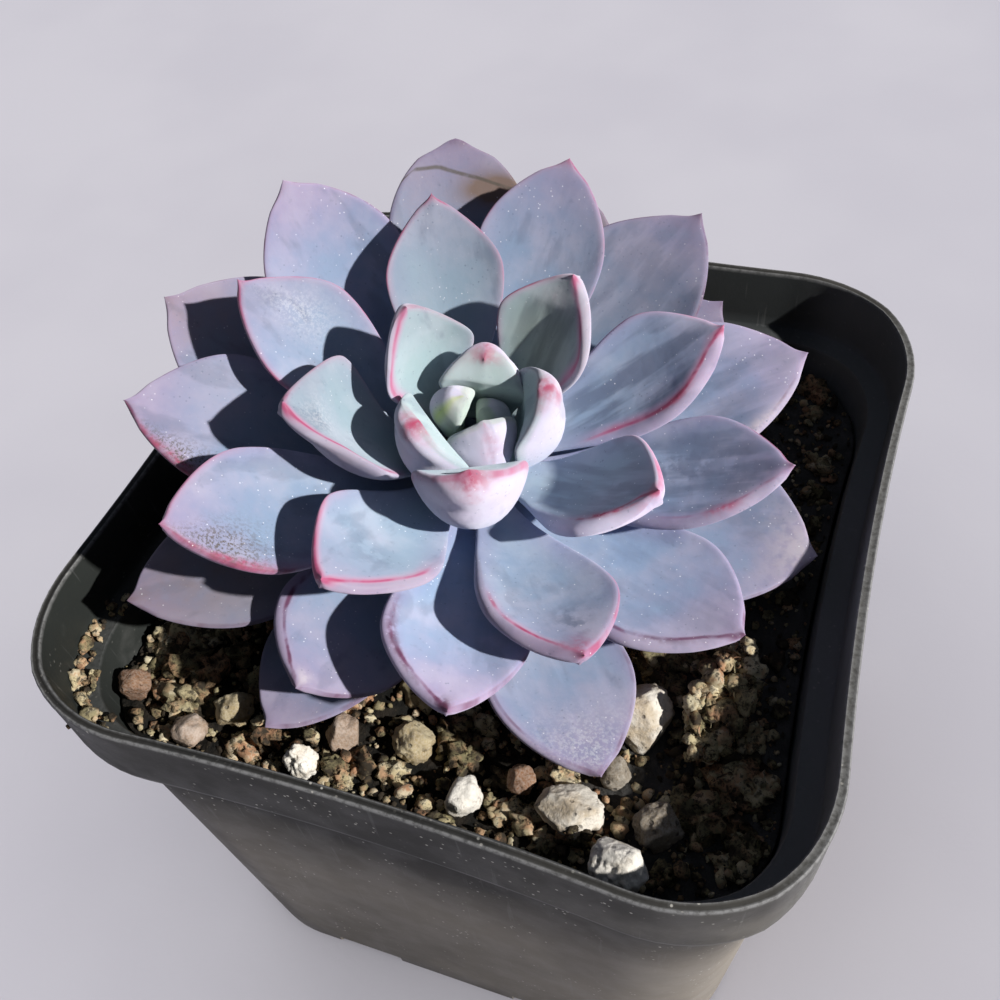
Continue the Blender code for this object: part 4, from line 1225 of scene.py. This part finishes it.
def add_clods(name, finish, seed, solid):
    """Clods of peat and clay: a craggy core with angular crumbs that stick to it."""
    heap = Heap(seed, 2)
    rng = heap.rng
    cores = [lump_shape(seed * 50 + k, 3, 0.5, rng.choice((0, 1, 3)), 0.9) for k in range(CLOD_KINDS)]
    for x, y in clod_places(rng, CLOD_NUMBER):
        radius = rng.uniform(*CLOD_RADII)
        shade = rng.choice((0.3, 0.45, 0.55, 0.7, 0.85))
        warmth = rng.choice((0, 0.1, 0.3, 0.7))
        place = (x, y, soil_height(x, y) + radius * 0.3)
        if in_pot(x, y, 2 * radius) and is_free(solid, place, 1.6 * radius):
            points, faces = rng.choice(cores)
            scale = np.array((rng.uniform(1.2, 1.7), rng.uniform(1.1, 1.5), rng.uniform(0.9, 1.2))) * radius
            heap.add_shape((points * scale) @ random_turn(rng).T + np.array(place), faces, shade, warmth)
        for _ in range(int(2 + 2 * radius)):
            angle, out = rng.uniform(0, 2 * math.pi), radius * math.sqrt(rng.random()) * 1.1
            size = rng.uniform(0.6, 1.6)
            lump_x, lump_y = x + out * math.cos(angle), y + out * math.sin(angle)
            bulge = 0.8 * math.sqrt(max(0, radius ** 2 - out ** 2))
            place = (lump_x, lump_y, soil_height(x, y) + bulge * rng.uniform(0.3, 1))
            if in_pot(lump_x, lump_y, size) and is_free(solid, place, size):
                own_shade = shade + rng.choice((-0.3, -0.1, 0.1, 0.35))
                heap.add(place, size, own_shade, warmth + rng.uniform(-0.15, 0.3))
    heap.finish(name, finish, "stone_pale")


def scatter_grit(name, slot, seed, number, sizes, subdivisions, lift, finish, solid):
    """Loose grains over the soil, sunk in by a part of their size, clear of leaves and large stones."""
    heap = Heap(seed, subdivisions)
    rng = heap.rng
    half = pot_inside(SOIL_LEVEL)[0] / 2
    for _ in range(number):
        size = sizes[0] + (sizes[1] - sizes[0]) * rng.random() ** 2
        x, y = rng.uniform(-half, half), rng.uniform(-half, half)
        place = (x, y, soil_height(x, y) + size * rng.uniform(*lift))
        if in_pot(x, y, size) and is_free(solid, place, size):
            shade = rng.choice((0.05, 0.2, 0.35, 0.5, 0.6, 0.75, 0.95)) + rng.uniform(-0.08, 0.08)
            heap.add(place, size, shade, rng.choice((0, 0.1, 0.3, 0.9)))
    heap.finish(name, finish, slot)


def make_ledge_crumbs(finish):
    """Crumbs of soil caught on the ledge in the front left-hand corner."""
    heap = Heap(LEDGE_SEED, 3, 8)
    rng = heap.rng
    for x, y, size in LEDGE_CRUMBS:
        heap.add((x, y, LEDGE_LEVEL + 0.3 * size), size, rng.uniform(0.5, 0.95), rng.uniform(0, 0.4))
        for _ in range(LEDGE_FINER):
            place = (x + rng.uniform(-1.3, 1.3), y + rng.uniform(-1.5, 1.5))
            place = (*place, LEDGE_LEVEL + rng.uniform(0.1, 0.6))
            heap.add(place, rng.uniform(0.35, 0.8), rng.uniform(0.2, 0.9), rng.uniform(0, 0.6))
    heap.finish("ledge_crumbs", finish, "soil_peat")


def make_stone_dirt(finish):
    """Peat that sticks to the front of the largest stone."""
    heap = Heap(DIRT_SEED, 3, 8)
    rng = heap.rng
    centre, size = stone_frame("stone_cream_large")
    for _ in range(DIRT_CRUMBS):
        share = np.array((rng.gauss(0.10, 0.13), -0.36 + rng.uniform(-0.06, 0.05), rng.gauss(-0.02, 0.17)))
        heap.add(centre + share * size, rng.uniform(0.35, 1.1), rng.uniform(0.1, 0.45), rng.uniform(0, 0.6))
    heap.finish("stone_dirt", finish, "soil_peat")


def make_clump(finish):
    """Fibrous peat: a ridge of lumps that leans down to the front, bristling with bent fibres and flakes."""
    heap = Heap(CLUMP_SEED, 3, 10)
    rng = heap.rng
    top, ridge = np.array(CLUMP_TOP), np.array(CLUMP_FOOT) - np.array(CLUMP_TOP)

    def width(share):
        return CLUMP_RADIUS * (0.7 + 0.5 * math.sin(math.pi * share))

    for k in range(CLUMP_LUMPS):
        share = (k + 0.5) / CLUMP_LUMPS
        wide = width(share)
        aside = np.array([rng.uniform(-1, 1) * wide * 0.8 for _ in range(3)]) * (1, 1, 0.6)
        size = wide * rng.uniform(0.4, 1)
        heap.add(top + ridge * share + aside, size, rng.uniform(0.3, 0.95), rng.uniform(0, 0.5))
    for _ in range(CLUMP_FIBRES):
        share = rng.random()
        way = np.array((rng.gauss(0, 1), rng.gauss(0, 1), abs(rng.gauss(0, 0.8))))
        way /= np.linalg.norm(way)
        start = top + ridge * share + way * width(share) * rng.uniform(0.5, 0.85)
        lie = np.array((rng.gauss(0, 1), rng.gauss(0, 1), rng.gauss(0, 0.5)))
        lie = way * 0.5 + lie / np.linalg.norm(lie)
        fibre = fibre_shape(start, lie, rng.uniform(0.5, 1.3), rng.uniform(0.04, 0.09), rng)
        heap.add_shape(*fibre, rng.choice((0.15, 0.4, 0.6, 0.8)), rng.choice((0, 0.2, 0.7)))
    for x, y, z, size, shade in CLUMP_CHIPS:
        heap.add((x, y, z), size, shade, 0)
    return heap.finish("fine_peat_clump", finish, "peat_fibre", ("peat_clump",))


def fibre_shape(start, way, length, radius, rng):
    """A bent flattened fibre with five sides, thinner at its ends."""
    way = way / np.linalg.norm(way)
    aside = np.cross(way, (rng.gauss(0, 1), rng.gauss(0, 1), rng.gauss(0, 1)))
    aside /= np.linalg.norm(aside)
    third = np.cross(way, aside)
    bow = rng.uniform(-0.3, 0.3) * length
    points, faces = [], []
    for k in range(6):
        share = k / 5
        thin = radius * (0.35 + 0.65 * math.sin(math.pi * min(1, share + 0.15)))
        middle = start + way * length * (share - 0.5) + aside * bow * (1 - (2 * share - 1) ** 2)
        for side in range(5):
            angle = 2 * math.pi * side / 5
            around = aside * math.cos(angle) * thin * 1.6 + third * math.sin(angle) * thin * 0.7
            points.append(middle + around)
    for k in range(5):
        faces += bridge(5, k * 5, (k + 1) * 5)
    faces += [tuple(reversed(range(5))), tuple(range(25, 30))]
    return np.array(points), faces


# Stage


def make_floor():
    s = Shades("floor_pale")
    s.color = s.mix(s.ramp(s.clouds(70, 3), 0.35, 0.65), (0.60, 0.585, 0.63), (0.64, 0.625, 0.665))
    finish = s.finish(0.9, s.bump(s.clouds(6, 4), 0.15), Specular_IOR_Level=0.2)
    mesh = bpy.data.meshes.new("floor")
    half = FLOOR_SIZE / 2 * MM
    corners = [(-half, -half, 0), (half, -half, 0), (half, half, 0), (-half, half, 0)]
    mesh.from_pydata(corners, [], [(0, 1, 2, 3)])
    mesh.materials.append(finish)
    floor = bpy.data.objects.new("floor", mesh)
    bpy.context.scene.collection.objects.link(floor)
    return floor


def make_lamp(name, way, strength, softness, color):
    sun = bpy.data.lights.new(name, "SUN")
    sun.energy = strength
    sun.color = color
    sun.angle = math.radians(softness)
    lamp = bpy.data.objects.new(name, sun)
    lamp.rotation_euler = way.to_track_quat("Z", "Y").to_euler()
    bpy.context.scene.collection.objects.link(lamp)
    return lamp


def light_only(lamp, floor, state):
    """Keeps a lamp off the floor, or on the floor alone."""
    receivers = bpy.data.collections.new(f"{lamp.name}_receivers")
    receivers.objects.link(floor)
    lamp.light_linking.receiver_collection = receivers
    receivers.collection_objects[0].light_linking.link_state = state


def make_lights(floor):
    """A low key light on the plant, a wide soft one on the floor, and a weak cool fill."""
    key = make_lamp("key", SUN_WAY, SUN_STRENGTH, SUN_SOFTNESS, SUN_COLOR)
    light_only(key, floor, "EXCLUDE")
    above = Vector((0, 0, 1))
    overhead = make_lamp("overhead", above, FLOOR_LIGHT, FLOOR_LIGHT_SOFTNESS, FLOOR_LIGHT_COLOR)
    light_only(overhead, floor, "INCLUDE")
    world = bpy.data.worlds.new("studio")
    world.use_nodes = True
    background = world.node_tree.nodes["Background"]
    background.inputs["Color"].default_value = (*FILL_COLOR, 1)
    background.inputs["Strength"].default_value = FILL_STRENGTH
    bpy.context.scene.world = world


def make_camera():
    turn, tilt, roll = (math.radians(a) for a in (CAMERA_TURN, CAMERA_TILT, CAMERA_ROLL))
    ahead = Vector((-math.sin(turn) * math.cos(tilt), math.cos(turn) * math.cos(tilt), -math.sin(tilt)))
    right = ahead.cross(Vector((0, 0, 1))).normalized()
    up = right.cross(ahead)
    rolled_right = right * math.cos(roll) + up * math.sin(roll)
    rolled_up = up * math.cos(roll) - right * math.sin(roll)
    pose = Matrix((rolled_right, rolled_up, -ahead)).transposed().to_4x4()
    pose.translation = Vector(CAMERA_PLACE) * MM
    lens = bpy.data.cameras.new("camera")
    lens.sensor_width = SENSOR_WIDTH
    lens.lens = CAMERA_FOCUS / CAMERA_FRAME * SENSOR_WIDTH
    lens.clip_start = NEAREST_SEEN
    camera = bpy.data.objects.new("camera", lens)
    camera.matrix_world = pose
    bpy.context.scene.collection.objects.link(camera)
    bpy.context.scene.camera = camera


make_camera()
make_lights(make_floor())
bpy.context.scene.view_settings.view_transform = "Standard"

bloom = leaf_material()
leaves = [make_leaf(leaf, bloom) for leaf in range(LEAF_COUNT)]
make_pot(pot_material())
make_soil(soil_material())

skins = {name: stone_material(f"stone_{name}", *look) for name, look in STONE_SKINS.items()}
stones = [
    make_stone(node, skins[skin], "stone_tan" if skin == "brown" else "stone_pale", *form)
    for node, (skin, *form) in STONE_LOOKS.items()
]
clump = make_clump(grit_material("peat_fibre_look", 0.25))

barrier = bvh_of(leaves + stones + [clump])
crumbs = grit_material("crumbs", 0.35)
for name, seed in CLODS:
    add_clods(name, crumbs, seed, barrier)
for row in GRIT:
    scatter_grit(*row, crumbs, barrier)
make_ledge_crumbs(crumbs)
make_stone_dirt(crumbs)
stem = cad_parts["stem"]
stem.data.materials.clear()
stem.data.materials.append(plant_material("stem_skin", (0.13, 0.16, 0.08), (0.30, 0.34, 0.20), 1.6))
